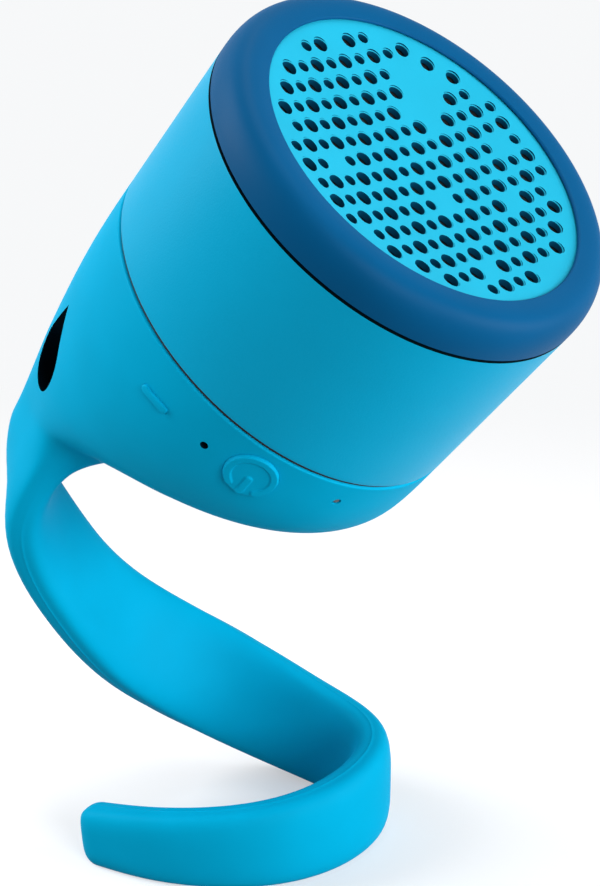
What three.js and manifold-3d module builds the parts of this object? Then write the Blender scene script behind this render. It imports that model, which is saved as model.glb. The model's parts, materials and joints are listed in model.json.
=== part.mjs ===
// A small portable speaker on a bendable tail that coils into its own stand.
// Millimetres, +Z up, standing on the flat lower edge of the tail at z = 0.
// The drum's pieces are drawn in the drum's own frame: Z along its axis towards the grille,
// X towards the tail, and the origin at the middle of the joint between bezel and sleeve.

import * as THREE from 'three';
import { mergeVertices } from 'three/addons/utils/BufferGeometryUtils.js';
import Module from 'manifold-3d';

const wasm = await Module();
wasm.setup();

// Clearances, and how far a cutting tool runs past what it cuts
const gap = 0.3;
const seamGap = 0.2;
const overrun = 4;

// Drum: outer size, walls and the slanted joint between sleeve and boot
const bodyRadius = 37.5;
const sleeveWall = 1.8;
const seamRise = 4.35;
const seamTurnDeg = 15;
const sealThickness = 0.5;
const drumDepth = 55.5;
const bootHeight = 19.7;
const bootFloor = 1.6;
const bootCorner = 6;
const bootThroat = 6.5;
const bootWeb = 11;
const cavityChamfer = 6;
const bootFloorShares = [0.21, 0.83];
const bootFrontPullShare = 0.45;
const funnelEndShare = 0.132;

// Where the tail holds the drum: the place of its closed end over the coil, its lean and its turn
const endAcross = 1.7;
const endBack = 9.4;
const endHeight = 91.4;
const leanDeg = 41.4;
const leanTowardsDeg = -39.8;
const drumTurnDeg = -126.7;

// Bezel and grille
const bezelHeight = 7.3;
const bezelWidth = 7.15;
const bezelLip = 0.5;
const bezelCrownShares = [[0.16, 0.98], [0.4, 1], [0.65, 0.93], [0.87, 0.71], [0.98, 0.41]];
const skirtDepth = 3.2;
const grilleTop = 6.2;
const grilleThickness = 1.2;
const grilleOverlap = 1.95;
const dishRadius = 155;
const holePitch = 5.28;
const largeHole = 2.7;
const smallHole = 2;
const holeMargin = 3.1;
const holeFieldTurnDeg = -9.3;
const meshThickness = 0.4;
const gasketThickness = 0.7;

// Housing tub and baffle
const tubWall = 1.6;
const tubFloor = 1.8;
const baffleTop = -4.5;
const baffleThickness = 2.5;
const bossRadius = 3;
const bossLength = 12.7;
const bossInset = 2.8;
const standoffRadius = 2.6;
const standoffInset = 7.8;
const standoffDeg = 60;

// Two-inch driver: the opening in its flange is a share of its size, and the other radii are
// shares of that opening
const driverInset = 6;
const flangeShare = 0.8;
const flangeThickness = 1.2;
const basketWall = 1.1;
const basketDepth = 12.8;
const basketNeckShare = 0.815;
const basketHoleShare = 0.55;
const coneShare = 0.86;
const coneDepth = 7;
const coneWall = 0.8;
const capRise = 2.4;
const coilShare = 0.475;
const coilWall = 0.9;
const coilLength = 9;
const rollInset = 0.5;
const rollOutset = 0.2;
const rollHeight = 2;
const rollLand = 0.8;
const rollWall = 0.4;
const spiderShare = 0.76;
const spiderWave = 0.8;
const spiderPleats = 6;
const plateThickness = 3;
const plateShare = 0.735;
const magnetShare = 0.825;
const magnetHoleShare = 0.53;
const magnetThickness = 6;
const backPlateThickness = 2.5;
const poleVent = 3;
const airGap = 0.5;

// Screws
const screwHead = 1.5;
const screwHeadHeight = 1.1;
const screwShank = 0.9;
const screwSocket = 0.8;
const driverScrewLength = 3.4;
const baffleScrewLength = 9;
const baffleScrewInset = 3.4;
const boardScrewLength = 6;
const screwCount = 4;

// Electronics
const boardThickness = 1.6;
const boardInset = 4;
const boardRoom = 0.7;
const batteryRoom = 2.7;
const batteryClearance = 0.75;
const batteryHeight = 8;
const batteryCorner = 2.5;
const canSize = 14;
const canHeight = 1.8;
const canPlace = 8;
const socketWidth = 9;
const socketHeight = 3.2;
const socketLength = 7.3;
const socketWall = 0.4;
const socketInset = 0.8;
const tongueWidth = 6.6;
const stripInset = 3;
const stripThickness = 0.5;
const stripHeight = 9.4;
const stripFromDeg = -55;
const stripToDeg = 115;
const switchSize = 4;
const switchDepth = 1.4;
const nubRadius = 0.9;
const nubLength = 0.5;
const microphoneSize = 3;
const microphoneDepth = 1.1;

// Controls on the boot: their height over the drum's end, and angles from the tail side
const controlRise = 14.2;
const powerDeg = 75.5;
const volumeDeg = 43.7;
const microphoneDeg = 61.1;
const lampDeg = 101.6;
const powerRadius = 4.8;
const barLength = 6.2;
const barWidth = 1.5;
const buttonRise = 0.4;
const buttonTravel = 0.5;
const buttonStem = 0.7;
const soundHole = 0.75;
const lampRadius = 0.6;
const symbolStroke = 1.5;
const symbolRise = 0.3;
const symbolOpeningDeg = 38;

// Charging port flap on the far side
const flapWidth = 12;
const flapHeight = 6;
const flapThickness = 1.1;
const flapCorner = 1;
const flapDrop = 0.7;

// Teardrop eye through the root of the tail
const eyeLength = 16.5;
const eyeRadius = 6;
const eyeDrop = 11.9;
const eyeSlopeDeg = 24;
const eyeTiltDeg = 12;

// Tail: reach of its coil, its section, its bends and its spring-steel core
const coilReach = 29.2;
const coilDepth = 26;
const coilDrop = 32.7;
const rootInset = 5.2;
const rootGap = 8.5;
const rootRun = 15.5;
const tailWidth = 24.4;
const tailThickness = 9;
const ringSpacing = 5;
const tipRound = 4.2;
const tipFlat = 0.35;
const standFlat = 0.5;
const coreWidth = 6;
const coreThickness = 1.4;
const coreSpacing = 4;
const rootCoreShare = 0.085;
const knuckleStartShare = 0.35;
const groundSize = 2 * (2 * coilReach + overrun);

// Counts
const roundSides = 32;
const driverSides = 24;
const smallSides = 8;
const cornerSteps = 2;
const holeSides = 6;
const meshRows = 4;
const bootRows = 11;
const tailSides = 16;
const knuckleSides = 20;
const knuckleRows = 4;
const tipRows = 4;
const courseSteps = 400;

// The tail's course, from the drum to its tip, as shares of the coil's reach, depth and rise:
// sideways, backwards, and the lift of its lower edge above the foot
const tailCourseShares = [
  [-1.46, 0.37, 1],
  [-1.18, 0.44, 0.671],
  [-0.83, 0.78, 0.372],
  [-0.25, 0.98, 0.165],
  [0.44, 0.82, 0],
  [1.03, 0.24, 0],
  [0.75, -0.47, 0],
  [0.19, -0.8, 0],
  [-0.48, -0.715, 0],
  [-0.89, -0.47, 0],
];
// How upright the tail's width stands, from the root's own tilt at 0 to vertical at 1
const uprightShares = [0, 0.1, 0.3, 0.6, 0.95, 1, 1, 1];
const widthShares = [1, 0.95, 0.93, 0.76, 0.5];
const thicknessShares = [1, 0.94, 0.89, 0.83, 0.78];
const sectionPower = 3.5;
// Where the tail bends, as shares of its course
const bendShares = {
  tail_bend_1: 0.2,
  tail_bend_2: 0.31,
  tail_bend_3: 0.43,
  tail_bend_4: 0.56,
  tail_bend_5: 0.84,
};

// Lattice places that stay closed in the hole field, as [column, row] counted from its middle
const closedLarge = [[-3, -3], [-1, 1], [0, -3], [0, -4], [1, -4], [3, 2]];
const closedSmall = [
  [-5, 2], [-4, -1], [-3, 3], [-1, -5], [-1, -4], [-1, -3], [0, -5], [0, -4], [0, -3], [3, -4],
];

// Derived heights and radii of the drum, and the height at which the coil starts
const coilRise = endHeight - coilDrop;
const sleeveLength = drumDepth - bootHeight;
const innerRadius = bodyRadius - sleeveWall;
const tubRadius = innerRadius - gap;
const tubInner = tubRadius - tubWall;
const cavityFloor = -drumDepth + bootFloor;
const tubBottom = cavityFloor + gap;
const tubFloorTop = tubBottom + tubFloor;
const baffleBottom = baffleTop - baffleThickness;
const tubTop = baffleBottom - gap;
const bossPlace = tubInner - bossInset;
const standoffPlace = tubInner - standoffInset;
const baffleScrewPlace = tubInner - baffleScrewInset;
const bezelInner = bodyRadius - bezelWidth;
const holeFieldRadius = bezelInner - holeMargin;
const grilleRadius = bezelInner + grilleOverlap;
const skirtInner = grilleRadius + gap;
const grilleBack = grilleTop - grilleThickness;

// Derived sizes of the driver
const flangeOuter = tubInner - driverInset;
const flangeInner = flangeOuter * flangeShare;
const baffleHole = flangeInner + basketWall + gap;
const driverScrewPlace = (flangeInner + basketWall + flangeOuter) / 2;
const basketNeck = flangeInner * basketNeckShare;
const basketHole = flangeInner * basketHoleShare;
const coneTop = flangeInner * coneShare;
const rollInner = coneTop + rollInset;
const rollOuter = flangeInner + rollOutset;
const coilRadius = flangeInner * coilShare;
const capRadius = coilRadius + gap;
const poleRadius = coilRadius - coilWall - airGap;
const spiderRadius = flangeInner * spiderShare;
const plateRadius = flangeInner * plateShare;
const magnetRadius = flangeInner * magnetShare;
const magnetHole = flangeInner * magnetHoleShare;
const flangeBottom = baffleTop + gap;
const flangeTop = flangeBottom + flangeThickness;
const basketBottom = flangeBottom - basketDepth;
const plateTop = basketBottom - gap;
const plateBottom = plateTop - plateThickness;
const magnetTop = plateBottom - gap;
const magnetBottom = magnetTop - magnetThickness;
const backPlateTop = magnetBottom - gap;
const coneRim = flangeTop - gap;
const coneNeck = coneRim - coneDepth;
const coilTop = coneNeck - coneWall - gap;

// Derived places of the battery, the board, the socket and the switches
const batteryBottom = tubFloorTop + gap;
const batteryTop = batteryBottom + batteryHeight;
const boardBottom = batteryTop + boardRoom;
const boardTop = boardBottom + boardThickness;
const boardRadius = tubInner - boardInset;
const socketEnd = tubInner - socketInset;
const socketTop = boardBottom - gap;
const socketMiddle = socketTop - socketHeight / 2;
const batteryReach = tubInner - cavityChamfer - batteryClearance;
const batteryLength = 2 * (socketEnd - socketLength - batteryRoom);
const batteryWidth = 2 * (batteryCorner
  + Math.sqrt((batteryReach - batteryCorner) ** 2 - (batteryLength / 2 - batteryCorner) ** 2));
const controlHeight = -drumDepth + controlRise;
const flapMiddle = socketMiddle - flapDrop;
const stripRadius = tubInner - stripInset;
const switchRadius = stripRadius + gap;
const nubEnd = switchRadius + switchDepth + nubLength;
const stemEnd = nubEnd + buttonTravel + gap;
const capBack = tubRadius + gap + buttonTravel;
const capFace = bodyRadius + buttonRise;
const shankHole = screwShank + gap;

const degrees = THREE.MathUtils.degToRad;

const group = new THREE.Group();
const drum = new THREE.Group();
const lean = new THREE.Group();
const spin = new THREE.Group();

function material(color, roughness, metalness = 0) {
  return new THREE.MeshStandardMaterial({ color, roughness, metalness });
}

const paint = {
  silicone: material(0x0aa3d4, 0.62),
  satin: material(0x2aa6d4, 0.42),
  bezel: material(0x055f96, 0.5),
  grille: material(0x39b6d5, 0.45),
  foam: material(0x14161a, 0.9),
  plastic: material(0x2b3036, 0.6),
  steel: material(0x9aa0a6, 0.35, 0.9),
  ferrite: material(0x26282b, 0.8),
  paper: material(0x1d1f22, 0.9),
  rubber: material(0x17181a, 0.75),
  copper: material(0xb06a33, 0.4, 0.8),
  board: material(0x16543a, 0.55),
  cell: material(0x4a7fb5, 0.4),
  lamp: material(0xe6eef2, 0.3),
};

// Solids and geometries

function stripped(geometry) {
  const bare = geometry.clone();
  for (const name of Object.keys(bare.attributes)) {
    if (name !== 'position') bare.deleteAttribute(name);
  }
  return mergeVertices(bare);
}

function solid(geometry) {
  const merged = stripped(geometry);
  return new wasm.Manifold(new wasm.Mesh({
    numProp: 3,
    vertProperties: new Float32Array(merged.attributes.position.array),
    triVerts: new Uint32Array(merged.index.array),
  }));
}

function geometryOf(body) {
  const mesh = body.getMesh();
  const geometry = new THREE.BufferGeometry();
  geometry.setAttribute('position', new THREE.BufferAttribute(mesh.vertProperties.slice(), 3));
  geometry.setIndex(new THREE.BufferAttribute(mesh.triVerts.slice(), 1));
  geometry.computeVertexNormals();
  return geometry;
}

const cut = (body, ...tools) => tools.reduce((rest, tool) => rest.subtract(tool), body);
const join = (body, ...others) => others.reduce((whole, other) => whole.add(other), body);

// Drops empty faces, and turns every face over if the body encloses a negative volume
function outwards(geometry) {
  const merged = stripped(geometry);
  const index = merged.index.array;
  const corners = [new THREE.Vector3(), new THREE.Vector3(), new THREE.Vector3()];
  const kept = [];
  let volume = 0;
  for (let i = 0; i < index.length; i += 3) {
    const face = [index[i], index[i + 1], index[i + 2]];
    if (new Set(face).size < 3) continue;
    kept.push(...face);
    face.forEach((vertex, k) => corners[k].fromBufferAttribute(merged.attributes.position, vertex));
    volume += corners[0].dot(corners[1].cross(corners[2]));
  }
  merged.setIndex(volume < 0 ? kept.reverse() : kept);
  merged.computeVertexNormals();
  return merged;
}

// A body turned around Z from a closed outline of [radius, height] points
function turned(outline, sides = roundSides) {
  const points = outline.map(([radius, height]) => new THREE.Vector2(radius, height));
  const onAxis = points[0].x === 0 && points[points.length - 1].x === 0;
  if (!onAxis) points.push(points[0].clone());
  return outwards(new THREE.LatheGeometry(points, sides).rotateX(Math.PI / 2));
}

function ring(outer, inner, bottom, top, sides = roundSides) {
  return turned([[inner, bottom], [outer, bottom], [outer, top], [inner, top]], sides);
}

function disc(radius, bottom, top, sides = roundSides) {
  return turned([[0, bottom], [radius, bottom], [radius, top], [0, top]], sides);
}

function block(sizeX, sizeY, bottom, top) {
  return new THREE.BoxGeometry(sizeX, sizeY, top - bottom).translate(0, 0, (top + bottom) / 2);
}

function extruded(shape, bottom, top, curveSegments = cornerSteps) {
  const depth = top - bottom;
  const geometry = new THREE.ExtrudeGeometry(shape, { depth, bevelEnabled: false, curveSegments });
  return outwards(geometry.translate(0, 0, bottom));
}

// Moves a geometry drawn on the axis out to a radius at an angle
function placed(geometry, radius, angleDeg) {
  return geometry.translate(radius, 0, 0).rotateZ(degrees(angleDeg));
}

// Turns a geometry drawn on Z to point out of the drum, its X along the wall and its Y up
function facing(geometry, angleDeg, height) {
  const upright = geometry.rotateZ(Math.PI / 2).rotateY(Math.PI / 2);
  return upright.translate(0, 0, height).rotateZ(degrees(angleDeg));
}

// A closed body through rings of points, with flat ends
function lofted(rings) {
  const sides = rings[0].length;
  const points = rings.flat();
  const faces = [];
  for (let i = 0; i + 1 < rings.length; i++) {
    for (let j = 0; j < sides; j++) {
      const a = i * sides + j;
      const b = i * sides + ((j + 1) % sides);
      faces.push(a, b, a + sides, b, b + sides, a + sides);
    }
  }
  for (const [row, flip] of [[0, true], [rings.length - 1, false]]) {
    const centre = rings[row].reduce((sum, point) => sum.add(point), new THREE.Vector3());
    points.push(centre.divideScalar(sides));
    for (let j = 0; j < sides; j++) {
      const a = row * sides + j;
      const b = row * sides + ((j + 1) % sides);
      faces.push(...(flip ? [b, a, points.length - 1] : [a, b, points.length - 1]));
    }
  }
  const geometry = new THREE.BufferGeometry().setFromPoints(points);
  geometry.setIndex(faces);
  return outwards(geometry);
}

function mix(a, shareA, b, shareB) {
  if (a.isVector3) return a.clone().multiplyScalar(shareA).addScaledVector(b, shareB);
  return a * shareA + b * shareB;
}

// A uniform cubic spline through shares of a course; numbers or vectors
function splined(values, share) {
  const last = values.length - 1;
  const at = THREE.MathUtils.clamp(share, 0, 1) * last;
  const i = Math.min(Math.floor(at), last - 1);
  const f = at - i;
  const weights = [(1 - f) ** 3, 3 * f ** 3 - 6 * f ** 2 + 4, -3 * f ** 3 + 3 * f ** 2 + 3 * f + 1, f ** 3];
  const pick = (k) => {
    if (k < 0) return mix(values[0], 2, values[1], -1);
    if (k > last) return mix(values[last], 2, values[last - 1], -1);
    return values[k];
  };
  const start = values[0].isVector3 ? new THREE.Vector3() : 0;
  return weights.reduce((sum, weight, k) => mix(sum, 1, pick(i + k - 1), weight / 6), start);
}

function add(owner, name, shape, finish) {
  const geometry = shape.isBufferGeometry ? shape : geometryOf(shape);
  const mesh = new THREE.Mesh(geometry, finish);
  mesh.name = name;
  owner.add(mesh);
}

// An empty object whose Z is a joint's axis
function pivot(owner, name, axis, place) {
  const mark = new THREE.Object3D();
  mark.name = name;
  mark.quaternion.setFromUnitVectors(new THREE.Vector3(0, 0, 1), axis);
  mark.position.copy(place);
  owner.add(mark);
}

// The drum's place in the part's frame
drum.position.set(endAcross, endBack, endHeight);
drum.rotation.z = degrees(leanTowardsDeg);
lean.rotation.y = degrees(leanDeg);
spin.rotation.z = degrees(drumTurnDeg);
spin.position.z = drumDepth;
group.add(drum);
drum.add(lean);
lean.add(spin);
group.updateMatrixWorld(true);

const drumMatrix = spin.matrixWorld.clone();
const inDrum = (geometry) => solid(geometry.applyMatrix4(drumMatrix));
const fromDrum = (x, y, z) => new THREE.Vector3(x, y, z).applyMatrix4(drumMatrix);
const alongDrum = (x, y, z) => new THREE.Vector3(x, y, z).transformDirection(drumMatrix);

// The tail's course and section

const rootStart = fromDrum(bodyRadius - rootInset - tailThickness / 2, 0, -drumDepth - rootGap);
const rootOut = alongDrum(1, 0, 0);
const rootDown = alongDrum(0, 0, -1);
const rootSide = alongDrum(0, 1, 0);
const tailDown = new THREE.Vector3(0, 0, -1);

const coursePoints = [
  rootStart,
  rootStart.clone().addScaledVector(rootDown, rootRun),
  ...tailCourseShares.map(([side, back, rise], i) => {
    const width = splined(widthShares, (i + 2) / (tailCourseShares.length + 1)) * tailWidth;
    return new THREE.Vector3(side * coilReach, back * coilDepth, rise * coilRise + width / 2 - standFlat);
  }),
];

const courseShares = Array.from({ length: courseSteps + 1 }, (_, i) => i / courseSteps);
const courseSamples = courseShares.map((share) => splined(coursePoints, share));
const courseLength = courseSamples.slice(1)
  .reduce((sum, point, i) => sum + point.distanceTo(courseSamples[i]), 0);
const inCourse = (length) => length / courseLength;

function tailFrame(share) {
  const centre = splined(coursePoints, share);
  const ahead = splined(coursePoints, share + 1 / courseSteps);
  const behind = splined(coursePoints, share - 1 / courseSteps);
  const along = ahead.sub(behind).normalize();
  const upright = THREE.MathUtils.clamp(splined(uprightShares, share), 0, 1);
  const side = rootSide.clone().multiplyScalar(1 - upright).addScaledVector(tailDown, upright);
  side.addScaledVector(along, -side.dot(along)).normalize();
  return {
    centre,
    along,
    side,
    out: new THREE.Vector3().crossVectors(along, side),
    width: splined(widthShares, share) * tailWidth,
    thickness: splined(thicknessShares, share) * tailThickness,
  };
}

function offset(frame, out, side, along = 0) {
  return frame.centre.clone()
    .addScaledVector(frame.out, out)
    .addScaledVector(frame.side, side)
    .addScaledVector(frame.along, along);
}

const rounded = (value) => Math.sign(value) * Math.abs(value) ** (2 / sectionPower);

// The section of the tail: a rectangle with well-rounded corners
function sectionRing(frame, halfThickness, halfWidth, sides, along = 0) {
  return Array.from({ length: sides }, (_, j) => {
    const angle = (2 * Math.PI * j) / sides;
    const out = rounded(Math.cos(angle)) * halfThickness;
    const side = rounded(Math.sin(angle)) * halfWidth;
    return offset(frame, out, side, along);
  });
}

function tailRings(start, end, sides) {
  const steps = Math.max(2, Math.ceil((end - start) * courseLength / ringSpacing));
  return Array.from({ length: steps + 1 }, (_, i) => {
    const frame = tailFrame(start + (end - start) * i / steps);
    return sectionRing(frame, frame.thickness / 2, frame.width / 2, sides);
  });
}

// The half-round end that a link turns on, drawn back from its bend
function knuckleRings(share, sides) {
  const frame = tailFrame(share);
  const radius = frame.thickness / 2;
  return Array.from({ length: knuckleRows }, (_, i) => {
    const angle = (Math.PI / 2) * (i + knuckleStartShare) / knuckleRows;
    return sectionRing(frame, radius * Math.sin(angle), frame.width / 2, sides, -radius * Math.cos(angle));
  });
}

// The tip rounds off over its last few millimetres
function tipRings(sides) {
  const frame = tailFrame(1);
  return Array.from({ length: tipRows }, (_, i) => {
    const share = Math.sin((Math.PI / 2) * (i + 1) / tipRows);
    const drawn = (frame.thickness / 2 - tipFlat) * (1 - Math.sqrt(1 - share ** 2));
    return sectionRing(frame, frame.thickness / 2 - drawn, frame.width / 2 - drawn, sides, tipRound * share);
  });
}

// Bezel, grille and the parts that seal the drum

function bezelRing() {
  return turned([
    [skirtInner, grilleTop + gap],
    [bezelInner, grilleTop + gap],
    [bezelInner, grilleTop + gap + bezelLip],
    ...bezelCrownShares.map(([out, up]) => [bezelInner + bezelWidth * out, bezelHeight * up]),
    [bodyRadius, gap],
    [tubRadius, gap],
    [tubRadius, -skirtDepth],
    [skirtInner, -skirtDepth],
  ]);
}

// Sinks a flat disc into a shallow bowl inside the bezel's edge
function dished(geometry) {
  const position = geometry.attributes.position;
  for (let i = 0; i < position.count; i++) {
    const radius = Math.min(Math.hypot(position.getX(i), position.getY(i)), bezelInner);
    position.setZ(i, position.getZ(i) - (bezelInner ** 2 - radius ** 2) / (2 * dishRadius));
  }
  geometry.computeVertexNormals();
  return geometry;
}

const listed = (list, column, row) => list.some(([a, b]) => a === column && b === row);

// A square field of large holes with a small one in the middle of each square
function grille() {
  const shape = new THREE.Shape().absarc(0, 0, grilleRadius, 0, 2 * Math.PI);
  const turn = degrees(holeFieldTurnDeg);
  const reach = Math.ceil(holeFieldRadius / holePitch);
  for (const [size, shift, closed] of [[largeHole, 0, closedLarge], [smallHole, 0.5, closedSmall]]) {
    for (let column = -reach; column <= reach; column++) {
      for (let row = -reach; row <= reach; row++) {
        const place = new THREE.Vector2(column + shift, row + shift).multiplyScalar(holePitch);
        if (place.length() > holeFieldRadius || listed(closed, column, row)) continue;
        place.rotateAround(new THREE.Vector2(), turn);
        const corners = Array.from({ length: holeSides }, (_, k) => new THREE.Vector2(size / 2, 0)
          .rotateAround(new THREE.Vector2(), turn - (2 * Math.PI * k) / holeSides)
          .add(place));
        shape.holes.push(new THREE.Path(corners));
      }
    }
  }
  return dished(extruded(shape, grilleBack, grilleTop, roundSides / 2));
}

function grilleMesh() {
  const top = grilleBack - gap;
  const rows = Array.from({ length: meshRows + 1 }, (_, i) => grilleRadius * i / meshRows);
  return dished(turned([
    ...rows.map((radius) => [radius, top - meshThickness]),
    ...rows.reverse().map((radius) => [radius, top]),
  ]));
}

const seamHeight = (x, y) => -sleeveLength
  + seamRise * (x * Math.cos(degrees(seamTurnDeg)) + y * Math.sin(degrees(seamTurnDeg))) / bodyRadius;

// Tilts the points below the bezel joint to follow the slanted joint
function slanted(geometry) {
  const position = geometry.attributes.position;
  for (let i = 0; i < position.count; i++) {
    if (position.getZ(i) < -seamGap / 2) {
      position.setZ(i, position.getZ(i) + seamHeight(position.getX(i), position.getY(i)));
    }
  }
  geometry.computeVertexNormals();
  return geometry;
}

function rearSeal() {
  return slanted(ring(bodyRadius - gap, innerRadius, -seamGap - sealThickness, -seamGap));
}

function housingTub() {
  const shell = solid(turned([
    [0, tubBottom],
    [tubRadius - cavityChamfer, tubBottom],
    [tubRadius, tubBottom + cavityChamfer],
    [tubRadius, tubTop],
    [tubInner, tubTop],
    [tubInner, tubFloorTop + cavityChamfer],
    [tubInner - cavityChamfer, tubFloorTop],
    [0, tubFloorTop],
  ]));
  const inFloor = tubFloorTop - tubFloor / 2;
  const inside = solid(disc((tubRadius + tubInner) / 2, inFloor, tubTop));
  const boss = () => disc(bossRadius, tubTop - bossLength, tubTop, smallSides);
  const standoff = () => disc(standoffRadius, inFloor, boardBottom - gap, smallSides);
  const bossShank = () => disc(shankHole, tubTop - baffleScrewLength, tubTop + overrun, smallSides);
  const boardShank = () => disc(shankHole, boardTop - boardScrewLength - gap, boardTop, smallSides);
  const posts = screwAngles.flatMap((angle) => [
    placed(boss(), bossPlace, angle),
    placed(standoff(), standoffPlace, standoffAngle(angle)),
  ]);
  const shanks = screwAngles.flatMap((angle) => [
    placed(bossShank(), baffleScrewPlace, angle),
    placed(boardShank(), standoffPlace, standoffAngle(angle)),
  ]);
  const stems = buttons.map(({ angle }) => wallPrism(roundShape(buttonStem + gap), angle, controlHeight));
  return cut(
    join(shell, ...posts.map((post) => solid(post).intersect(inside))),
    ...shanks.map(solid),
    ...stems.map(solid),
    solid(wallPrism(roundShape(soundHole), microphoneDeg, controlHeight)),
    solid(wallPrism(roundShape(lampRadius + gap), lampDeg, controlHeight)),
    solid(wallPrism(portShape(), flapDeg, socketMiddle)),
  );
}

function baffle() {
  const hole = () => disc(shankHole, baffleBottom - overrun, baffleTop + overrun, smallSides);
  const holes = screwAngles.flatMap((angle) => [
    placed(hole(), driverScrewPlace, angle),
    placed(hole(), baffleScrewPlace, angle),
  ]);
  return cut(solid(ring(tubRadius, baffleHole, baffleBottom, baffleTop)), ...holes.map(solid));
}

function baffleGasket() {
  const bottom = baffleTop + gap;
  return ring(tubRadius - gap, skirtInner + gap, bottom, bottom + gasketThickness);
}

// Driver

function driverFrame() {
  const frame = solid(turned([
    [flangeInner, flangeTop],
    [flangeInner, flangeBottom - basketWall],
    [basketNeck - basketWall, basketBottom + basketWall],
    [basketHole, basketBottom + basketWall],
    [basketHole, basketBottom],
    [basketNeck, basketBottom],
    [flangeInner + basketWall, flangeBottom - basketWall],
    [flangeInner + basketWall, flangeBottom],
    [flangeOuter, flangeBottom],
    [flangeOuter, flangeTop],
  ], driverSides));
  const hole = () => disc(shankHole, flangeBottom - overrun, flangeTop + overrun, smallSides);
  const holes = screwAngles.map((angle) => placed(hole(), driverScrewPlace, angle));
  return cut(frame, ...holes.map(solid));
}

// Half-round roll between two flat lands
function surround() {
  const middle = (rollInner + rollOuter) / 2;
  const base = flangeTop + gap;
  const arc = (grow) => Array.from({ length: smallSides / 2 + 1 }, (_, i) => {
    const angle = (2 * Math.PI * i) / smallSides;
    return [
      middle + ((rollOuter - rollInner) / 2 + grow) * Math.cos(angle),
      base + (rollHeight - rollWall + grow) * Math.sin(angle),
    ];
  });
  const outerLand = [[rollOuter + rollLand, base], [rollOuter + rollLand, base + rollWall]];
  const innerLand = [[rollInner - rollLand, base + rollWall], [rollInner - rollLand, base]];
  const above = arc(rollWall).slice(1, -1);
  const below = arc(0).reverse();
  return turned([...outerLand, [rollOuter + rollWall, base + rollWall], ...above,
    [rollInner - rollWall, base + rollWall], ...innerLand, ...below], driverSides);
}

function cone() {
  return turned([
    [coilRadius - coilWall, coneNeck - coneWall],
    [coneTop, coneRim - coneWall],
    [coneTop, coneRim],
    [coilRadius - coilWall, coneNeck],
  ], driverSides);
}

function dustCap() {
  const slope = coneDepth / (coneTop - coilRadius + coilWall);
  const base = coneNeck + slope * (capRadius - coilRadius + coilWall) + gap;
  const dome = (radius, rise) => Array.from({ length: smallSides / 2 + 1 }, (_, i) => {
    const angle = (Math.PI * i) / smallSides;
    return [i === smallSides / 2 ? 0 : radius * Math.cos(angle), base + rise * Math.sin(angle)];
  });
  return turned([
    ...dome(capRadius, capRise + rollWall).reverse(),
    ...dome(capRadius - rollWall, capRise),
  ], driverSides);
}

// A pleated ring that centres the voice coil
function spider() {
  const inner = coilRadius + gap;
  const rim = basketBottom + basketWall + gap;
  const row = (lift) => Array.from({ length: spiderPleats + 1 }, (_, i) => [
    inner + (spiderRadius - inner) * i / spiderPleats,
    rim + lift + (i % 2) * spiderWave,
  ]);
  return turned([...row(0), ...row(rollWall).reverse()], driverSides);
}

function backPlate() {
  return turned([
    [poleVent, backPlateTop - backPlateThickness],
    [magnetRadius, backPlateTop - backPlateThickness],
    [magnetRadius, backPlateTop],
    [poleRadius, backPlateTop],
    [poleRadius, plateTop],
    [poleVent, plateTop],
  ], driverSides);
}

const voiceCoil = () => ring(coilRadius, coilRadius - coilWall, coilTop - coilLength, coilTop, driverSides);
const topPlate = () => ring(plateRadius, coilRadius + airGap, plateBottom, plateTop, driverSides);
const magnet = () => ring(magnetRadius, magnetHole, magnetBottom, magnetTop, driverSides);

function addDriver() {
  add(spin, 'driver_frame', driverFrame(), paint.steel);
  add(spin, 'surround', surround(), paint.rubber);
  add(spin, 'cone', cone(), paint.paper);
  add(spin, 'dust_cap', dustCap(), paint.paper);
  add(spin, 'voice_coil', voiceCoil(), paint.copper);
  add(spin, 'spider', spider(), paint.rubber);
  add(spin, 'top_plate', topPlate(), paint.steel);
  add(spin, 'magnet', magnet(), paint.ferrite);
  add(spin, 'back_plate', backPlate(), paint.steel);
  pivot(spin, 'cone_travel', new THREE.Vector3(0, 0, 1), new THREE.Vector3(0, 0, coneRim));
}

// Screws: round head with a socket, over a plain shank

const screwAngles = Array.from({ length: screwCount }, (_, i) => (360 / screwCount) * (i + 1 / 2));

// The board's posts stand beside the battery, closer to the drum's Y than the other screws
const standoffAngle = (angle) => Math.sign(Math.sin(degrees(angle)))
  * (Math.cos(degrees(angle)) > 0 ? standoffDeg : 180 - standoffDeg);

function screw(length, top) {
  return turned([
    [0, top - length],
    [screwShank, top - length],
    [screwShank, top],
    [screwHead, top],
    [screwHead, top + screwHeadHeight],
    [screwSocket, top + screwHeadHeight],
    [screwSocket, top + screwHeadHeight / 2],
    [0, top + screwHeadHeight / 2],
  ], smallSides);
}

function addScrews() {
  screwAngles.forEach((angle, i) => {
    const number = i + 1;
    add(spin, `driver_screw_${number}`,
      placed(screw(driverScrewLength, flangeTop + gap), driverScrewPlace, angle), paint.steel);
    add(spin, `baffle_screw_${number}`,
      placed(screw(baffleScrewLength, baffleTop + gap), baffleScrewPlace, angle), paint.steel);
    add(spin, `board_screw_${number}`,
      placed(screw(boardScrewLength, boardTop + gap), standoffPlace, standoffAngle(angle)), paint.steel);
  });
}

// Electronics

function mainBoard() {
  const holes = screwAngles.map((angle) => (
    placed(disc(shankHole, boardBottom - overrun, boardTop + overrun, smallSides), standoffPlace,
      standoffAngle(angle))));
  return cut(solid(disc(boardRadius, boardBottom, boardTop, driverSides)), ...holes.map(solid));
}

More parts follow.
